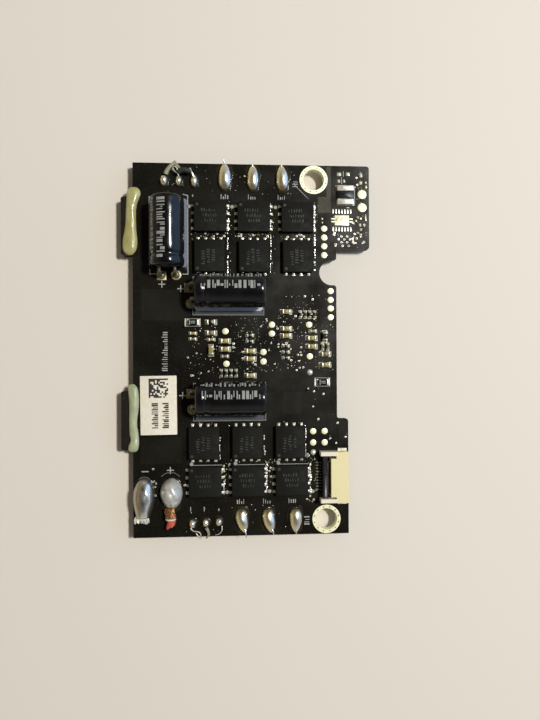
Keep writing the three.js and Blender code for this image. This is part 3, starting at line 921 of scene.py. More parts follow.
def make_small_chips():
    rng = random.Random(21)
    kinds = (("medium", MEDIUM_CHIPS, SIZE_0603), ("small", SMALL_CHIPS, SIZE_0402))
    for name, chips, size in kinds:
        capacitors, resistors = Builder(), Builder()
        for u, v, turn, body in chips:
            chip(resistors if body == "chip_black" else capacitors, u, v, turn, size, body, rng)
        capacitors.build(f"{name}_chip_capacitors", "tinned_metal")
        resistors.build(f"{name}_chip_resistors", "mould_compound")


def make_diodes():
    b = Builder()
    for u, v in ((9.85, 35.68), (31.6, 25.6)):
        b.move(u, v)
        b.plate(0.72, 0.42, 0.05, 0.85, "mould", bevel=0.08)
        b.box(-0.55, -0.42, -0.42, 0.42, 0.845, 0.86, "silk")
        for offset in (-0.14, 0.14):
            b.box(-0.3, 0.45, offset - 0.05, offset + 0.05, 0.845, 0.858, "silk")
        for end, pad in zip(both_ways(0.7, 1.0), both_ways(1.08, 1.3)):
            b.box(*end, -0.5, 0.5, 0.02, 0.3, "tin", bevel=0.08)
            b.box(*pad, -0.6, 0.6, 0, 0.04, "tin", corner=0.08)
    b.build("small_diodes", "mould_compound")


def make_shunt():
    node = "shunt_resistor"
    u, v, _ = centre_of(node)
    b = Builder(u, v)
    (u0, v0, _), (u1, v1, height) = board_box(node)
    half, reach = (u1 - u0) / 2 + 0.1, (v1 - v0) / 2
    b.plate(half, 0.72, 0.05, height, "chip_black", bevel=0.05)
    for end, pad in zip(both_ways(0.68, reach), both_ways(0.9, reach + 0.12)):
        b.box(-half, half, *end, 0.02, height + 0.02, "tin", bevel=0.1)
        b.box(-half - 0.12, half + 0.12, *pad, 0, 0.09, "solder", bevel=0.05)
    b.build(f"{node}_body", "mould_compound", [node])


def make_empty_footprint():
    """The bare land of a chip that was never fitted."""
    b = Builder(35.1, 53.05)
    b.plate(1.22, 0.86, 0, 0.035, "gold", bevel=0.015, corner=0.08)
    for k in range(-3, 4):
        u = k * FINE_PITCH
        for span in both_ways(1.12, 1.9):
            b.box(u - 0.13, u + 0.13, *span, 0, 0.035, "tin", bevel=0.015, corner=0.1)
    for v in (-0.24, 0.24):
        for span in both_ways(1.22, 1.85):
            b.box(*span, v - 0.12, v + 0.12, 0, 0.035, "gold", bevel=0.015, corner=0.1)
    spots = ((0, 0.1, 0.3), (0.35, -0.35, 0.12), (-0.75, 0.35, 0.14), (-0.95, 0, 0.2),
             (0.7, 0.2, 0.16))
    for u, v, r in spots:
        b.slab(circle(u, v, r, 12), 0.03, 0.038, "tarnish")
    b.build("empty_chip_footprint", "gold_plating")


EMPTY_PADS = [
    # centre u and v, width, length
    (34.65, 60.9, 0.75, 0.6), (36.15, 60.95, 0.7, 0.6), (34.6, 59.75, 0.45, 0.5),
    (35.5, 59.75, 0.4, 0.5), (38.4, 60.8, 0.5, 0.7), (38.35, 59.5, 0.55, 0.55),
    (39.25, 59.6, 0.3, 0.4), (39.3, 58.85, 0.3, 0.5), (37.8, 53.6, 0.4, 0.35),
    (38.35, 53.4, 0.35, 0.35), (38.2, 52.3, 0.4, 0.5), (38.35, 51.5, 0.4, 0.5),
    (37.8, 50.95, 0.45, 0.35), (38.3, 50.65, 0.45, 0.35), (39.2, 53.7, 0.18, 0.9),
    (38.85, 49.35, 0.5, 0.35), (36.1, 55.2, 0.6, 0.2), (37.55, 53.0, 0.3, 0.3),
    (31.7, 53.3, 0.3, 0.3), (31.75, 52.65, 0.25, 0.25),
]
SPECK_AREAS = [
    # lowest u and v, highest u and v, number of specks
    (9.5, 49.5, 15.8, 50.8, 26), (16.6, 49.5, 30.2, 50.8, 44), (9.3, 26.3, 14.5, 36.2, 60),
    (16.2, 27.4, 24.6, 36.8, 150), (24.2, 27.8, 31.2, 40.4, 130), (31.3, 27.4, 33.6, 35.6, 26),
    (30.1, 50.9, 31.0, 56.0, 30), (33.6, 48.4, 39.4, 54.2, 60), (37.4, 54.6, 39.4, 61.8, 30),
    (14.3, 6.4, 15.9, 12.4, 26), (21.5, 6.4, 23.2, 12.4, 26), (28.8, 5.4, 30.4, 13.0, 40),
    (4.0, 57.4, 13.6, 61.8, 14), (16.8, 57.2, 27.6, 61.8, 20), (8.6, 0.6, 27.6, 5.6, 16),
    (10.0, 18.0, 28.0, 19.0, 20), (15.6, 43.8, 16.6, 56.0, 26), (22.8, 44.0, 23.8, 56.0, 22),
    (11.6, 12.2, 28.8, 12.8, 26),
]


def make_empty_pads():
    rng = random.Random(71)
    b = Builder()
    for u, v, wide, long in EMPTY_PADS:
        b.move(u, v)
        b.plate(wide / 2, long / 2, 0, 0.03, "olive_tin", bevel=0.012, corner=0.06)
        if wide > 0.35:
            mound(b, wide * 0.85, long * 0.85, 0.14, "dull_solder", rng, square=3.0, sides=16)
    b.build("empty_chip_pads", "tinned_metal")


def make_specks():
    """Fine beads of solder that are spattered round the joints and chips."""
    rng = random.Random(73)
    b = Builder()
    for u0, v0, u1, v1, count in SPECK_AREAS:
        for _ in range(count):
            b.move(rng.uniform(u0, u1), rng.uniform(v0, v1))
            r = rng.choice((0.04, 0.05, 0.06, 0.08, 0.11))
            look = rng.choice(("tin", "olive_tin", "olive_tin"))
            b.turned([(r, 0), (r * 0.85, r * 0.5), (r * 0.35, r * 0.8)], look, sides=7)
    b.build("solder_specks", "solder")


def make_transistors():
    rng = random.Random(5)
    for number in range(1, 13):
        node = f"mosfet_{number}"
        (u0, v0, _), (u1, v1, height) = board_box(node)
        wide, tall = u1 - u0, v1 - v0
        b = Builder((u0 + u1) / 2, (v0 + v1) / 2, 0, 0 if wide > tall else UPRIGHT)
        reach, across = max(wide, tall) / 2, min(wide, tall) / 2
        along = reach - 0.35
        leads, joints = both_ways(along - 0.05, reach), both_ways(reach - 0.1, reach + 0.16)
        b.plate(along, across, 0.03, height, "mould", bevel=0.09, corner=0.14)
        b.plate(along - 0.5, across + 0.012, 0.28, 0.34, "mould", corner=0.1)
        dot = circle(-along + 0.55, across - 0.55, 0.24, 16)
        b.slab(dot, height - 0.01, height + 0.003, "faint_ink")
        for k, v in enumerate((0.75, -0.1, -0.95)):
            ticks(b, -1.5 + 0.3 * k, v, 1.4, v, 0.55, "faint_ink", height - 0.004, rng, 0.42, 0.008)
        for k in range(4):
            v = (k - 1.5) * LEAD_PITCH
            for lead, joint in zip(leads, joints):
                b.box(*lead, v - 0.21, v + 0.21, 0.02, 0.24, "tin", bevel=0.06)
                long = rng.uniform(0.24, 0.3)
                look = rng.choice(("tin", "olive_tin", "olive_tin"))
                top = rng.uniform(0.06, 0.14)
                b.box(*joint, v - long, v + long, 0, top, look, bevel=0.05, corner=0.1)
        b.build(f"{node}_package", "mould_compound", [node], sharp=45)


SOLDER_SEAMS = [
    # where the transistors' tabs are soldered: u, first and last v, width
    (15.72, 43.9, 50.9, 0.22), (15.8, 51.0, 55.6, 0.34), (22.95, 44.0, 50.6, 0.14),
    (22.95, 50.8, 55.8, 0.2), (30.42, 44.4, 50.7, 0.36), (30.35, 51.0, 55.6, 0.42),
    (14.3, 12.8, 16.6, 0.18), (21.75, 13.4, 16.8, 0.3), (28.7, 13.0, 18.4, 0.2),
    (14.95, 7.6, 11.9, 0.34), (22.1, 7.4, 12.0, 0.4), (29.5, 6.8, 11.9, 0.42),
]


def make_solder_seams():
    rng = random.Random(8)
    b = Builder()
    for u, v0, v1, width in SOLDER_SEAMS:
        count = max(3, int((v1 - v0) / 0.42))
        step = (v1 - v0) / count
        for k in range(count):
            if rng.random() < 0.16:
                continue
            v = v0 + k * step
            half = width / 2 * rng.uniform(0.55, 1.1)
            shift = rng.uniform(-0.06, 0.06)
            long = step * rng.uniform(0.7, 1.02)
            look = rng.choice(("solder", "tin", "dull_solder"))
            b.box(u + shift - half, u + shift + half, v, v + long, 0, rng.uniform(0.05, 0.12), look,
                  bevel=0.045, corner=half * 0.8)
    b.build("solder_seams", "solder")


# ---------------------------------------------------------------- capacitors

# a capacitor's axis above the board, and its leads beside the axis
AXIS_HEIGHT, LEAD_OFFSET = 2.8, 1.25
# profiles of (radius, distance along the axis from the seal end)
SLEEVE_OUTSIDE = [
    (2.26, 0.0), (2.46, 0.02), (2.64, 0.12), (2.75, 0.32), (2.80, 0.62), (2.80, 1.1), (2.75, 1.35),
    (2.64, 1.6), (2.60, 1.8), (2.64, 2.0), (2.75, 2.25), (2.80, 2.5), (2.80, 4.0), (2.79, 6.5),
    (2.80, 9.0), (2.80, 10.7), (2.77, 10.98), (2.69, 11.2), (2.54, 11.34), (2.36, 11.39),
    (2.16, 11.37),
]
SLEEVE_INSIDE = [
    (2.16, 11.28), (2.4, 11.25), (2.55, 11.1), (2.6, 10.8), (2.6, 2.4), (2.48, 1.8), (2.6, 1.2),
    (2.6, 0.4), (2.45, 0.15), (2.26, 0.09),
]
CAN_PROFILE = [
    (0.3, 1.62), (2.3, 1.62), (2.42, 1.7), (2.46, 1.85), (2.52, 2.3), (2.52, 10.6), (2.46, 10.95),
    (2.28, 11.16), (2.05, 11.2), (1.7, 11.17), (0.3, 11.17),
]
SEAL_PROFILE = [
    (0.2, 0.2), (1.0, 0.17), (1.9, 0.2), (2.22, 0.3), (2.36, 0.5), (2.38, 1.5), (0.2, 1.5),
]
BOSS_PROFILE = [(0.3, 0.04), (0.55, 0.06), (0.62, 0.14), (0.66, 0.25)]
CAPACITORS = {
    # seal end u and v, heading, then the pads of its positive and negative lead
    "capacitor_1": (5.95, 44.5, UPRIGHT, (4.75, 43.5), (7.15, 43.6)),
    "capacitor_2": (10.4, 40.7, 0.0, (9.25, 41.45), (9.55, 38.85)),
    "capacitor_3": (10.5, 23.1, 0.0, (9.55, 23.8), (9.75, 21.15)),
}


def sleeve_mark(b, x0, x1, turn0, turn1):
    """A thin printed patch on a round sleeve, between two turns in degrees from its top."""
    steps = max(2, int((turn1 - turn0) / 4))
    angles = [math.radians(turn0 + (turn1 - turn0) * i / steps) for i in range(steps + 1)]
    around = [(2.812, t) for t in angles] + [(2.79, t) for t in reversed(angles)]
    section = [(r * math.sin(t), AXIS_HEIGHT + r * math.cos(t)) for r, t in around]
    b.loft([[(x, y, z) for y, z in section] for x in (x0, x1)], "sleeve_ink")


def sleeve_print(b, rng):
    """Two rows of plain bars, in place of the printed rating."""
    rows = (
        # first and last distance along the sleeve, widths, starts and ends in degrees, gaps
        (1.1, 10.3, (0.16, 0.2, 0.46), (1, 1, 8), (16, 29, 29), (0.14, 0.18, 0.34)),
        (0.9, 10.5, (0.14, 0.3), (46, 50), (58, 68), (0.14, 0.2, 0.42)),
    )
    for x, last, widths, starts, ends, gaps in rows:
        while x < last:
            wide = rng.choice(widths)
            sleeve_mark(b, x, x + wide, rng.choice(starts), rng.choice(ends))
            x += wide + rng.choice(gaps)


def make_capacitor(name, u, v, heading, positive, negative):
    rng = random.Random(sum(map(ord, name)))
    axis = (0, 0, AXIS_HEIGHT)
    sleeve = Builder(u, v, 0, heading)
    phase = rng.uniform(0, 6)
    rings = []
    for radius, along in SLEEVE_OUTSIDE + SLEEVE_INSIDE:
        ring = []
        for a in turns(72):
            pucker = 0.012 if along < 0.7 or along > 10.9 else 0.003
            r = radius - pucker * (1 + math.sin(11 * a + phase) * math.sin(4 * a + along))
            ring.append((along, r * math.cos(a), AXIS_HEIGHT + r * math.sin(a)))
        rings.append(ring)
    sleeve.loft(rings, "sleeve", loop=True)
    sleeve_print(sleeve, rng)
    sleeve.build(f"{name}_shrink_sleeve", "capacitor_sleeve", [f"{name}_sleeve"])

    can = Builder(u, v, 0, heading)
    can.turned(CAN_PROFILE, "aluminium", "u", 64, axis)
    for k in range(3):
        # the score that lets the can's top burst open safely
        a = math.radians(90 + 120 * k)
        c, s = math.cos(a), math.sin(a)
        corners = ((0.1, -0.05), (1.5, -0.05), (1.5, 0.05), (0.1, 0.05))
        foot = [(along * c - side * s, along * s + side * c) for along, side in corners]
        score = [[(x, y, AXIS_HEIGHT + z) for y, z in foot] for x in (11.15, 11.176)]
        can.loft(score, "dull_solder")
    can.build(f"{name}_aluminium", "aluminium_can", [f"{name}_can"])

    seal = Builder(u, v, 0, heading)
    seal.turned(SEAL_PROFILE, "rubber", "u", 48, axis)
    for y in (-LEAD_OFFSET, LEAD_OFFSET):
        seal.turned(BOSS_PROFILE, "rubber", "u", 20, (0, y, AXIS_HEIGHT))
    seal.build(f"{name}_bung", "rubber_seal", [f"{name}_seal"])

    leads = (("positive", positive, LEAD_OFFSET), ("negative", negative, -LEAD_OFFSET))
    for end, pad, y in leads:
        lead = Builder(u, v, 0, heading)
        du, dv = pad[0] - u, pad[1] - v
        c, s = math.cos(heading), math.sin(heading)
        x1, y1 = du * c + dv * s, -du * s + dv * c
        path = [(0.25, y, AXIS_HEIGHT), (-0.15, y, AXIS_HEIGHT), (-0.55, y, AXIS_HEIGHT - 0.15),
                (x1 * 0.8 - 0.1, (y + y1) / 2, 1.9), (x1, y1, 1.0), (x1, y1, 0.1)]
        # the leads' tin is darkened with painted shade
        lead.tube(path, 0.25, "aged_tin", 14, 5)
        lead.build(f"{name}_wire_{end}", "tinned_metal", [f"{name}_lead_{end}"])
    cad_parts[f"{name}_winding"].data.materials[0] = LOOKS["winding"]


def make_capacitor_pads():
    rng = random.Random(17)
    b = Builder()
    for *_, positive, negative in CAPACITORS.values():
        b.move(*positive)
        b.plate(0.78, 0.78, 0, 0.04, "tarnish", bevel=0.02, corner=0.08)
        mound(b, 1.2, 1.2, 0.45, "burnt_solder", rng, square=2.2)
        b.move(*negative)
        b.slab(circle(0, 0, 0.84, 32), 0, 0.04, "tarnish", bevel=0.02)
        mound(b, 1.2, 1.2, 0.45, "burnt_solder", rng)
    b.build("capacitor_pads", "solder")


# ---------------------------------------------------------------- solder joints

MOUND_PROFILE = [
    # share of the footprint, share of the height
    (1.0, 0.0), (0.985, 0.1), (0.96, 0.24), (0.91, 0.41), (0.83, 0.56), (0.72, 0.7), (0.58, 0.82),
    (0.4, 0.92), (0.2, 0.98), (0.06, 1.0),
]


def ridge(b, stations, look, rng, lumps=0.0, smooth=4, sides=16):
    """A long domed lump, through stations of (v, lowest u, highest u, height)."""
    along = spline([(v, u0, u1) for v, u0, u1, _ in stations], smooth)
    crest = spline([(v, height, 0) for v, _, _, height in stations], smooth)
    rings = []
    for p, top in zip(along, crest):
        mid, half, high = (p.y + p.z) / 2, (p.z - p.y) / 2, max(0.04, top.y)
        ring = [(mid + half * x, p.x, 0.0) for x in (0.8, 0, -0.8)]
        for k in range(sides + 1):
            t = math.pi * (1 - k / sides)
            rise = math.sin(t) * (1 + lumps * (math.sin(p.x * 2.3 + k) + rng.uniform(-0.3, 0.3)))
            ring.append((mid + half * math.cos(t), p.x, 0.02 + high * max(0.0, rise)))
        rings.append(ring)
    b.loft(rings, look)


def mound(b, wide, long, height, look, rng, square=2.0, sides=40):
    """A domed lump of solder with a wavy foot, rounder the nearer square is to 2."""
    waves = [(n, rng.uniform(0, 6.28), rng.uniform(0.008, 0.03)) for n in (2, 3, 4, 5, 7)]
    rings = []
    for scale, rise in MOUND_PROFILE:
        ring = []
        for a in turns(sides):
            c, s = math.cos(a), math.sin(a)
            r = scale * (abs(c) ** square + abs(s) ** square) ** (-1 / square)
            r *= 1 + sum(size * math.sin(n * a + phase + 1.5 * rise) for n, phase, size in waves)
            top = 1 + 0.5 * sum(size * math.sin(n * a + phase) for n, phase, size in waves[:3])
            ring.append((c * r * wide / 2, s * r * long / 2, height * rise * top))
        rings.append(ring)
    b.loft(rings, look)


def flux_ring(b, wide, long, rng, spread=0.3):
    """A thin stain of flux round a joint's foot."""
    phase = rng.uniform(0, 6)
    outline = []
    for a in turns(36):
        c, s = math.cos(a), math.sin(a)
        r = (abs(c) ** 4 + abs(s) ** 4) ** -0.25
        out = spread * (1 + 0.5 * math.sin(3 * a + phase) + 0.3 * math.sin(7 * a))
        outline.append((c * (r * wide / 2 + out), s * (r * long / 2 + out)))
    b.slab(outline, 0, 0.035, "flux", bevel=0.03)


# share of the length from the inner end, share of the width, share of the height
TEARDROP = [
    (0.0, 0.12, 0.05), (0.04, 0.48, 0.35), (0.12, 0.76, 0.66), (0.25, 0.94, 0.89), (0.42, 1.0, 1.0),
    (0.58, 0.98, 1.0), (0.72, 0.87, 0.9), (0.84, 0.66, 0.7), (0.94, 0.4, 0.46), (1.0, 0.18, 0.28),
]
PHASE_JOINTS = {
    # centre u and v, width, length, height, then the points of the stray wire end
    "phase_joint_upper_1": (15.3, 59.95, 2.35, 4.7, 1.1,
                            [(0, 1.7, 0.45), (-0.05, 2.3, 0.7), (-0.2, 2.8, 0.9)]),
    "phase_joint_upper_2": (20.0, 59.85, 2.15, 4.5, 1.05,
                            [(0, 1.6, 0.4), (-0.05, 2.0, 0.6), (-0.1, 2.35, 0.7)]),
    "phase_joint_upper_3": (24.95, 59.85, 2.25, 4.6, 1.05,
                            [(-0.1, 1.6, 0.4), (-0.15, 2.1, 0.6), (-0.2, 2.3, 0.7)]),
    "phase_joint_lower_1": (17.85, 2.75, 2.3, 4.3, 1.1,
                            [(0.4, -1.3, 0.5), (0.7, -2.1, 0.7), (0.8, -3.0, 0.6)]),
    "phase_joint_lower_2": (22.35, 2.65, 2.3, 4.3, 1.1,
                            [(0.4, -1.3, 0.5), (0.8, -2.0, 0.6), (0.85, -2.5, 0.6)]),
    "phase_joint_lower_3": (26.95, 2.6, 2.3, 4.3, 1.1,
                            [(0, -1.4, 0.5), (0.05, -2.0, 0.6), (0.05, -2.5, 0.6)]),
}


def make_phase_joints():
    rng = random.Random(31)
    for node, (u, v, wide, long, height, stray) in PHASE_JOINTS.items():
        way = 1 if "upper" in node else -1
        b = Builder(u, v)
        flux_ring(b, wide * 0.85, long * 0.9, rng)
        b.move(u, v - way * long * 0.43)
        mound(b, wide * 0.66, long * 0.2, 0.42, "flux", rng, sides=24)
        b.move(u, v)
        tip = stray[0][0] * 1.2
        stations = []
        for share, half, rise in TEARDROP:
            shift = tip * max(0.0, share - 0.4) / 0.6
            reach = wide / 2 * half * rng.uniform(0.98, 1.02)
            along = way * long * (share - 0.5)
            stations.append((along, shift - reach, shift + reach, height * rise))
        ridge(b, stations, "phase_solder", rng, 0.012)
        b.tube(stray, (0.22, 0.07), "solder", 12, 4)
        b.build(f"soldered_{node}", "solder", [node], sharp=70, subdivide=1)


SIGNAL_JOINTS = {
    # centre u and v, width, length
    "upper": [(5.2, 59.25, 1.5, 2.0), (7.65, 59.25, 1.3, 2.0), (10.2, 59.25, 1.4, 2.3)],
    "lower": [(9.75, 2.3, 1.35, 1.7), (11.95, 2.4, 1.35, 1.6), (14.1, 2.5, 1.35, 1.6)],
}


STRAY_WIRES = {
    # slot, then the points, radius, look, sides and steps of each wire
    "signal_wire_strands": ("tinned_metal", [
        ([(10.15, 59.9, 0.7), (9.8, 60.6, 0.9), (9.45, 61.2, 0.8)], (0.22, 0.09), "solder", 12, 4),
        ([(6.8, 61.2, 0.7), (7.0, 60.7, 0.9), (7.5, 60.3, 0.95), (7.7, 59.8, 0.8)],
         0.08, "tin", 8, 4),
        ([(6.6, 60.9, 0.6), (6.9, 61.5, 0.8), (7.3, 61.3, 0.8), (7.5, 60.8, 0.7)],
         0.06, "tin", 8, 4),
        ([(9.4, 1.6, 0.5), (9.9, 1.1, 0.6), (10.7, 1.0, 0.7), (11.15, 0.5, 0.6), (10.8, 0.15, 0.5),
          (10.3, 0.7, 0.4)], 0.08, "tin", 8, 5),
        ([(14.6, 1.8, 0.5), (14.6, 1.1, 0.6), (14.1, 0.5, 0.5), (13.5, 0.3, 0.3)],
         (0.08, 0.05), "tin", 8, 4),
    ]),
    "flux_clad_stumps": ("glue", [
        ([(5.5, 60.3, 0.35), (5.75, 60.9, 0.42), (6.3, 61.6, 0.45), (6.95, 62.2, 0.4),
          (7.0, 62.45, 0.3)], (0.42, 0.24), "putty", 14, 5),
        ([(6.9, 62.1, 0.4), (7.35, 61.7, 0.45), (7.7, 61.2, 0.5)], (0.3, 0.36), "putty", 14, 5),
        ([(12.0, 1.6, 0.5), (12.3, 1.0, 0.5), (12.4, 0.4, 0.4), (12.0, -0.25, 0.2)],
         (0.3, 0.14), "putty", 12, 5),
    ]),
    "black_bridge_wire": ("rubber_seal", [
        ([(7.55, 60.45, 0.8), (8.0, 60.75, 0.95), (8.7, 60.85, 1.0), (9.5, 60.65, 0.85)],
         0.42, "rubber", 16, 5),
    ]),
}


def make_signal_joints():
    rng = random.Random(37)
    for end, joints in SIGNAL_JOINTS.items():
        b = Builder()
        for u, v, wide, long in joints:
            b.move(u, v, 0, rng.uniform(-0.05, 0.05))
            flux_ring(b, wide * 0.8, long * 0.8, rng, 0.2)
            mound(b, wide, long, 1.0, "solder", rng)
        b.build(f"signal_joints_{end}", "solder", sharp=70, subdivide=1)
    for name, (slot, wires) in STRAY_WIRES.items():
        b = Builder()
        for wire in wires:
            b.tube(*wire)
        b.build(name, slot, sharp=60)


BATTERY_JOINTS = {
    # look, lumpiness, then stations of v, lowest and highest u, height
    "battery_joint_negative": ("stained_solder", 0.012, [
        (3.25, 0.5, 2.6, 0.5), (3.4, 0.45, 2.7, 1.1), (4.0, 0.4, 2.85, 1.62),
        (4.8, 0.22, 3.15, 1.86), (5.8, 0.06, 3.42, 1.93), (6.8, 0.02, 3.55, 1.9),
        (7.7, 0.08, 3.5, 1.78), (8.6, 0.34, 3.28, 1.45), (9.3, 0.68, 2.95, 1.05),
        (9.75, 1.1, 2.4, 0.5), (9.9, 1.4, 2.05, 0.1),
    ]),
    "battery_joint_positive": ("dull_solder", 0.03, [
        (5.0, 5.45, 7.15, 0.7), (5.15, 5.35, 7.25, 1.3), (5.6, 5.05, 7.6, 1.8),
        (6.3, 4.7, 7.95, 2.2), (7.2, 4.45, 8.15, 2.4), (8.1, 4.5, 8.05, 2.3), (8.8, 4.8, 7.75, 2.0),
        (9.35, 5.25, 7.3, 1.45), (9.7, 5.75, 6.8, 0.7), (9.82, 6.1, 6.45, 0.15),
    ]),
}


def make_battery_joints():
    rng = random.Random(43)
    for node, (look, lumps, stations) in BATTERY_JOINTS.items():
        b = Builder()
        wide = stations[5][2] - stations[5][1]
        b.move((stations[5][1] + stations[5][2]) / 2, 6.9)
        flux_ring(b, wide * 0.85, 5.2, rng, 0.2)
        b.move(0, 0)
        ridge(b, stations, look, rng, lumps, 5, 24)
        b.build(f"soldered_{node}", "solder", [node], sharp=75, subdivide=1)


def bundle(b, path, radius, count, thin, rng):
    """Fine copper strands that wind round a common path."""
    twist = 1.2
    for k, turn in enumerate(turns(count)):
        a0 = turn + rng.uniform(-0.2, 0.2)
        out = radius * (0.95 if k % 3 else 0.55) * rng.uniform(0.9, 1.05)
        strand = []
        for i, (x, y, z) in enumerate(path):
            a = a0 + twist * i / (len(path) - 1)
            strand.append((x + out * math.cos(a), y, z + out * math.sin(a)))
        b.tube(strand, thin, "copper", 8, 4)


# radius and distance along the board, of the torn insulation and of the band on it
STUB_PROFILE = [
    (0.34, 1.96), (0.6, 1.86), (0.68, 1.96), (0.7, 2.4), (0.68, 2.9), (0.7, 3.2), (0.62, 3.28),
    (0.36, 3.26),
]
BAND_PROFILE = [(0.66, 3.1), (0.84, 3.12), (0.88, 3.22), (0.84, 3.36), (0.64, 3.38)]


def make_battery_wires():
    rng = random.Random(47)
    core = Builder()
    path = [(6.1, 5.0, 0.95), (6.1, 4.4, 0.95), (6.15, 3.9, 0.94), (6.2, 3.4, 0.92)]
    bundle(core, path, 0.74, 18, 0.15, rng)
    core.tube([(6.1, 5.0, 0.95), (6.12, 4.1, 0.95), (6.2, 3.45, 0.92)], 0.64, "copper", 16)
    core.build("positive_wire_strands", "copper_strand", ["positive_wire_core"], sharp=60)

    stub = Builder()
    rings = []
    for radius, v in STUB_PROFILE:
        ring = []
        for a in turns(32):
            torn = 0.28 * math.cos(a) + 0.08 * math.sin(5 * a) if v < 2 else 0
            lean = 0.22 * (v + torn - 2.6)
            ring.append((6.3 + lean + radius * math.cos(a), v + torn, 0.8 + radius * math.sin(a)))
        rings.append(ring)
    stub.loft(rings, "red", loop=True)
    stub.turned(BAND_PROFILE, "white", "v", 32, (6.2, 0, 0.92), loop=True)
    bundle(stub, [(6.3, 3.25, 0.8), (6.3, 2.6, 0.8), (6.32, 2.05, 0.8)], 0.2, 6, 0.1, rng)
    stub.build("positive_wire_stub", "red_insulation", ["positive_wire_insulation"], sharp=50)

    frayed = Builder()
    for k in range(15):
        u = 0.25 + 0.165 * k
        end, low = u + rng.uniform(-0.12, 0.12), rng.uniform(0.2, 0.5)
        path = [(u * 0.8 + 0.28, 3.6, 0.4), (u, 3.1, 0.42), (end, rng.uniform(2.35, 2.65), low)]
        frayed.tube(path, rng.uniform(0.09, 0.12), "tin", 8, 3)
    node = "negative_wire_strands"
    frayed.build(f"{node}_torn", "copper_strand", [node], sharp=60)


# ---------------------------------------------------------------- connector

# number of contacts under the latch
CONTACTS = 10


def make_connector():
    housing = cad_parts["connector_housing"]
    housing.data.materials[0] = LOOKS["cream"]
    soften(housing, 0.05)
    for node in ("connector_nail_lower", "connector_nail_upper"):
        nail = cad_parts[node]
        nail.data.materials[0] = LOOKS["tin"]
        soften(nail, 0.04)

    (u0, v0, h0), (u1, v1, h1) = board_box("connector_latch")
    mid = (v0 + v1) / 2
    contacts = Builder()
    for k in range(CONTACTS):
        v = mid + (k - (CONTACTS - 1) / 2) * FINE_PITCH
        fillet = 0.16 + 0.05 * math.sin(k * 2.4)
        contacts.box(30.3, 31.3, v - 0.12, v + 0.12, 0, 0.03, "shaded_tin", bevel=0.015)
        contacts.box(30.5, 30.95, v - 0.09, v + 0.06, 0.03, fillet, "olive_tin", bevel=0.05)
        contacts.box(31.1, 31.25, v - 0.07, v + 0.07, 0.2, 0.24, "olive_tin", bevel=0.03)
        contacts.box(30.7, u1 + 0.05, v - 0.06, v + 0.06, 0.05, 0.2, "shaded_tin", bevel=0.03)
        contacts.box(u1 + 0.9, u1 + 3.1, v - 0.08, v + 0.08, 0.76, 0.84, "gold", bevel=0.02)
    contacts.build("connector_contacts", "tinned_metal")
    # painted shade: a dark plate on the housing's shelf, so that the gap between the latch and the
    # housing shows as a deep shadowed slot
    floor = Builder()
    floor.box(32.32, 32.73, 6.97, 12.23, 1.09, 1.13, "latch", bevel=0.01)
    floor.build("latch_gap_painted_shade", "latch_plastic")

    bar = Builder()
    profile = [
        (u0 + 0.06, h0), (u1 - 0.05, h0), (u1, h0 + 0.08), (u1, h1 - 0.12), (u1 - 0.1, h1),
        (u1 - 0.3, h1 - 0.03), (u1 - 0.42, h1), (u0 + 0.22, h1), (u0 + 0.06, h1 - 0.06),
        (u0, h1 - 0.2), (u0, h0 + 0.06),
    ]
    # distance along the bar, and how far the profile is drawn in there
    stations = [
        (v0, 0.06), (v0 + 0.04, 0), (v0 + 0.5, 0), (v0 + 0.56, 0.03), (v1 - 0.56, 0.03),
        (v1 - 0.5, 0), (v1 - 0.04, 0), (v1, 0.06),
    ]
    rings = []
    for v, distance in stations:
        rings.append([(x, v, z) for x, z in (inset(profile, distance) if distance else profile)])
    bar.loft(rings, "latch")
    bar.build("flip_lock_bar", "latch_plastic", ["connector_latch"], body=LATCH)


def soften(piece, width):
    """Rounds a kept part's edges."""
    bevel = piece.modifiers.new("rounded_edges", "BEVEL")
    bevel.width = width * MM
    bevel.segments = 2
    bevel.limit_method = "ANGLE"
    bevel.angle_limit = math.radians(40)


# ---------------------------------------------------------------- blocks, glue and label

GLUE_STATIONS = {
    # v, leftmost and rightmost u, height
    "glue_bead_upper": [
        (46.85, -0.75, -0.1, 0.08), (47.2, -1.3, 0.3, 0.43), (47.8, -1.6, 0.65, 0.58),
        (48.6, -1.65, 0.8, 0.62), (49.6, -1.6, 0.8, 0.56), (50.8, -1.35, 0.65, 0.51),
        (52.0, -1.2, 0.6, 0.55), (53.4, -1.15, 0.6, 0.59), (54.8, -1.1, 0.65, 0.62),
        (56.0, -1.05, 1.0, 0.66), (57.0, -0.95, 1.35, 0.62), (57.7, -0.8, 1.2, 0.47),
        (58.15, -0.3, 0.7, 0.16),
    ],
    "glue_bead_lower": [
        (14.2, -0.2, 0.35, 0.08), (14.5, -0.75, 0.75, 0.39), (15.2, -0.8, 0.95, 0.56),
        (16.1, -0.4, 1.0, 0.47), (17.2, -0.6, 0.92, 0.45), (18.6, -0.65, 0.7, 0.51),
        (20.0, -0.65, 0.75, 0.58), (21.4, -0.65, 0.95, 0.64), (22.8, -0.68, 1.0, 0.62),
        (24.0, -0.78, 0.92, 0.55), (24.9, -0.8, 0.7, 0.39), (25.45, -0.5, 0.2, 0.09),
    ],
}


def make_glue():
    for node, stations in GLUE_STATIONS.items():
        b = Builder()
        look = node.replace("_bead", "")
        ridge(b, stations, look, random.Random(7), 0.03)
        b.build(f"{node}_cured", "glue", [node], sharp=80, subdivide=1)


def make_blocks():
    for node in ("edge_block_upper", "edge_block_lower"):
        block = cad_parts[node]
        block.data.materials[0] = LOOKS["block"]
        soften(block, 0.18)


# the printed square code: cells along a side, the size of one, and the lower left corner
CODE_CELLS, CODE_CELL, CODE_CORNER = 12, 0.267, (-1.6, 1.25)


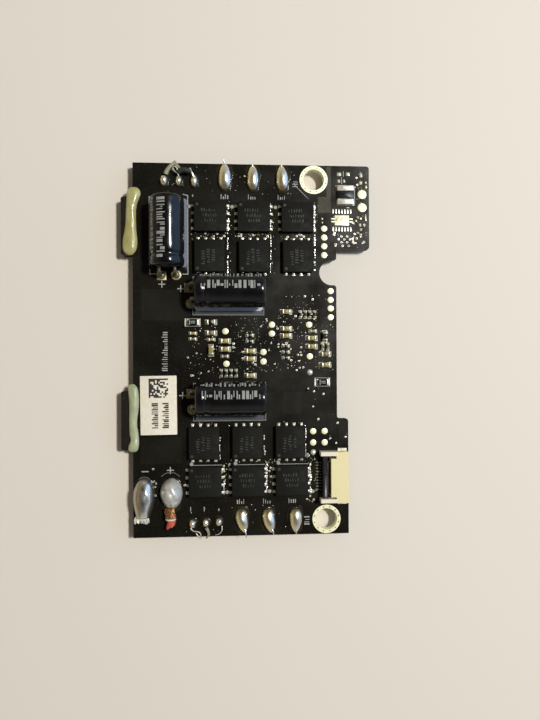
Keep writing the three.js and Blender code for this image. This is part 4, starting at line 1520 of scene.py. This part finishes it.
def make_label():
    rng = random.Random(53)
    (u0, v0, h0), (u1, v1, h1) = board_box("label")
    b = Builder((u0 + u1) / 2, (v0 + v1) / 2, 0, 0.01)
    half_u, half_v = (u1 - u0) / 2 - 0.04, (v1 - v0) / 2 - 0.03
    b.plate(half_u, half_v, h0, h1, "paper", bevel=0.02, corner=0.12)
    for i in range(CODE_CELLS):
        for k in range(CODE_CELLS):
            border = i == 0 or k == CODE_CELLS - 1
            if rng.random() < (1 if border else 0.52):
                x, y = CODE_CORNER[0] + i * CODE_CELL, CODE_CORNER[1] + k * CODE_CELL
                b.box(x, x + CODE_CELL, y, y + CODE_CELL, h1 - 0.01, h1 + 0.004, "label_ink")
    for u in (-0.1, 1.65):
        ticks(b, u, -3.8, u, 0.8, 1.05, "label_ink", h1 - 0.01, rng, 0.33, 0.014, (0.5, 0.7, 0.85))
    b.build("paper_label", "label_paper", ["label"])


# ---------------------------------------------------------------- underside

UNDERSIDE_CHIPS = [
    ("microcontroller_1", 12), ("microcontroller_2", 12), ("gate_driver_1", 8),
    ("gate_driver_2", 8),
]
CHIP_RINGS = [
    # centre of the square chip, distance of the small chips round it
    (24.0, 37.5, 4.7), (24.0, 24.5, 4.7), (19.9, 50.5, 3.7), (19.0, 11.5, 3.7),
]
RESISTOR_TRIOS = [
    (9.0, 51.5), (9.0, 54.0), (30.0, 51.5), (30.0, 48.0), (9.5, 9.5), (9.5, 14.0), (29.5, 9.0),
]
UNDERSIDE_LANDS = [
    (4.0, 30.0), (4.0, 32.5), (7.0, 30.0), (7.0, 32.5), (29.4, 46.0), (29.4, 43.0), (14.0, 57.5),
    (14.0, 4.5), (31.5, 20.5),
]
UNDERSIDE_VIA_AREAS = [
    (2.0, 34.0, 13.0, 58.0, 34), (2.0, 12.0, 13.0, 30.0, 30), (15.0, 41.5, 31.0, 47.0, 30),
    (15.0, 15.0, 31.0, 20.0, 30), (33.0, 49.0, 38.5, 60.0, 16),
]
UNDERSIDE_PLANES = [
    # middle u, lowest and highest v
    (2.5, 3.0, 12.0), (7.0, 3.5, 11.0), (15.5, 56.0, 61.0), (20.0, 56.0, 61.0), (25.0, 56.0, 61.0),
]


def flat_chip(node, pins, rng):
    """A leadless square chip with its edge contacts, under the board."""
    (u0, v0, h0), (u1, v1, _) = board_box(node)
    half, height = (u1 - u0) / 2, -THICKNESS - h0
    b = Builder((u0 + u1) / 2, (v0 + v1) / 2, below=True)
    b.plate(half - 0.05, half - 0.05, 0.03, height, "mould", bevel=0.07, corner=0.1)
    dot = circle(-half + 0.75, half - 0.75, 0.28, 18)
    b.slab(dot, height - 0.01, height + 0.002, "faint_ink")
    for v in (0.6, -0.5, -1.6):
        start, end, face = -half * 0.6, half * 0.65, height - 0.008
        ticks(b, start, v, end, v, 0.6, "faint_ink", face, rng, 0.45, 0.011)
    for turn in range(4):
        b.move(b.centre[0], b.centre[1], 0, turn * UPRIGHT)
        for k in range(pins):
            x = (k - (pins - 1) / 2) * FINE_PITCH
            b.box(x - 0.11, x + 0.11, half - 0.3, half + 0.01, 0, 0.2, "tin", bevel=0.03)
            b.box(x - 0.13, x + 0.13, half - 0.02, half + 0.3, 0, 0.07, "solder", bevel=0.03,
                  corner=0.08)
    b.build(f"{node}_package", "mould_compound", [node])


def make_underside():
    rng = random.Random(61)
    for node, pins in UNDERSIDE_CHIPS:
        flat_chip(node, pins, rng)
    capacitors, resistors, lands, holes, traces = (Builder(below=True) for _ in range(5))
    for u, v, reach in CHIP_RINGS:
        for k in range(4):
            along = (k - 1.5) * 1.7
            size = SIZE_0603 if k % 2 else SIZE_0402
            chip(capacitors, u - reach - 0.5, v + along, 0, size, "tan", rng)
            chip(resistors, u + reach + 0.4, v + along, 0, SIZE_0402, "chip_black", rng)
            chip(capacitors, u + along, v + reach, UPRIGHT, SIZE_0402, "tan", rng)
    for u, v in RESISTOR_TRIOS:
        for k in range(3):
            chip(resistors, u + k * 0.05, v + k * 0.95, 0, SIZE_0402, "chip_black", rng)
    capacitors.build("underside_capacitors", "tinned_metal")
    resistors.build("underside_resistors", "mould_compound")
    for *_, positive, negative in CAPACITORS.values():
        for u, v in (positive, negative):
            lands.move(u, v)
            lands.slab(circle(0, 0, 0.85, 28), 0, 0.04, "gold", bevel=0.02)
            mound(lands, 1.3, 1.3, 0.7, "solder", rng)
    for u, v in UNDERSIDE_LANDS:
        lands.move(u, v)
        lands.slab(circle(0, 0, 0.55, 24), 0, 0.04, "gold", bevel=0.02)
    lands.build("underside_pads", "gold_plating")
    for u0, v0, u1, v1, count in UNDERSIDE_VIA_AREAS:
        for _ in range(count):
            via(holes, rng.uniform(u0, u1), rng.uniform(v0, v1), 0.17, "tin")
    holes.build("underside_vias", "tinned_metal")
    for u, v0, v1 in UNDERSIDE_PLANES:
        traces.box(u - 0.9, u + 0.9, v0, v1, -0.01, 0.02, "mask", bevel=0.012, corner=0.3)
    for k in range(7):
        step = 0.45 * k
        path = [(11.5 + step, 21.0), (11.5 + step, 27.0 - step), (16.5 + step, 32.0 - step)]
        line(traces, path, 0.2, "mask", -0.01, 0.03)
    traces.build("underside_masked_copper", "solder_mask")


# ---------------------------------------------------------------- assembly

make_board()
make_silkscreen()
make_pads()
make_vias()
make_screw_rings()
make_small_chips()
make_diodes()
make_shunt()
make_empty_footprint()
make_empty_pads()
make_specks()
make_transistors()
make_solder_seams()
for name, place_and_pads in CAPACITORS.items():
    make_capacitor(name, *place_and_pads)
make_capacitor_pads()
make_phase_joints()
make_signal_joints()
make_battery_joints()
make_battery_wires()
make_connector()
make_glue()
make_blocks()
make_label()
make_underside()
make_stage()
make_camera()
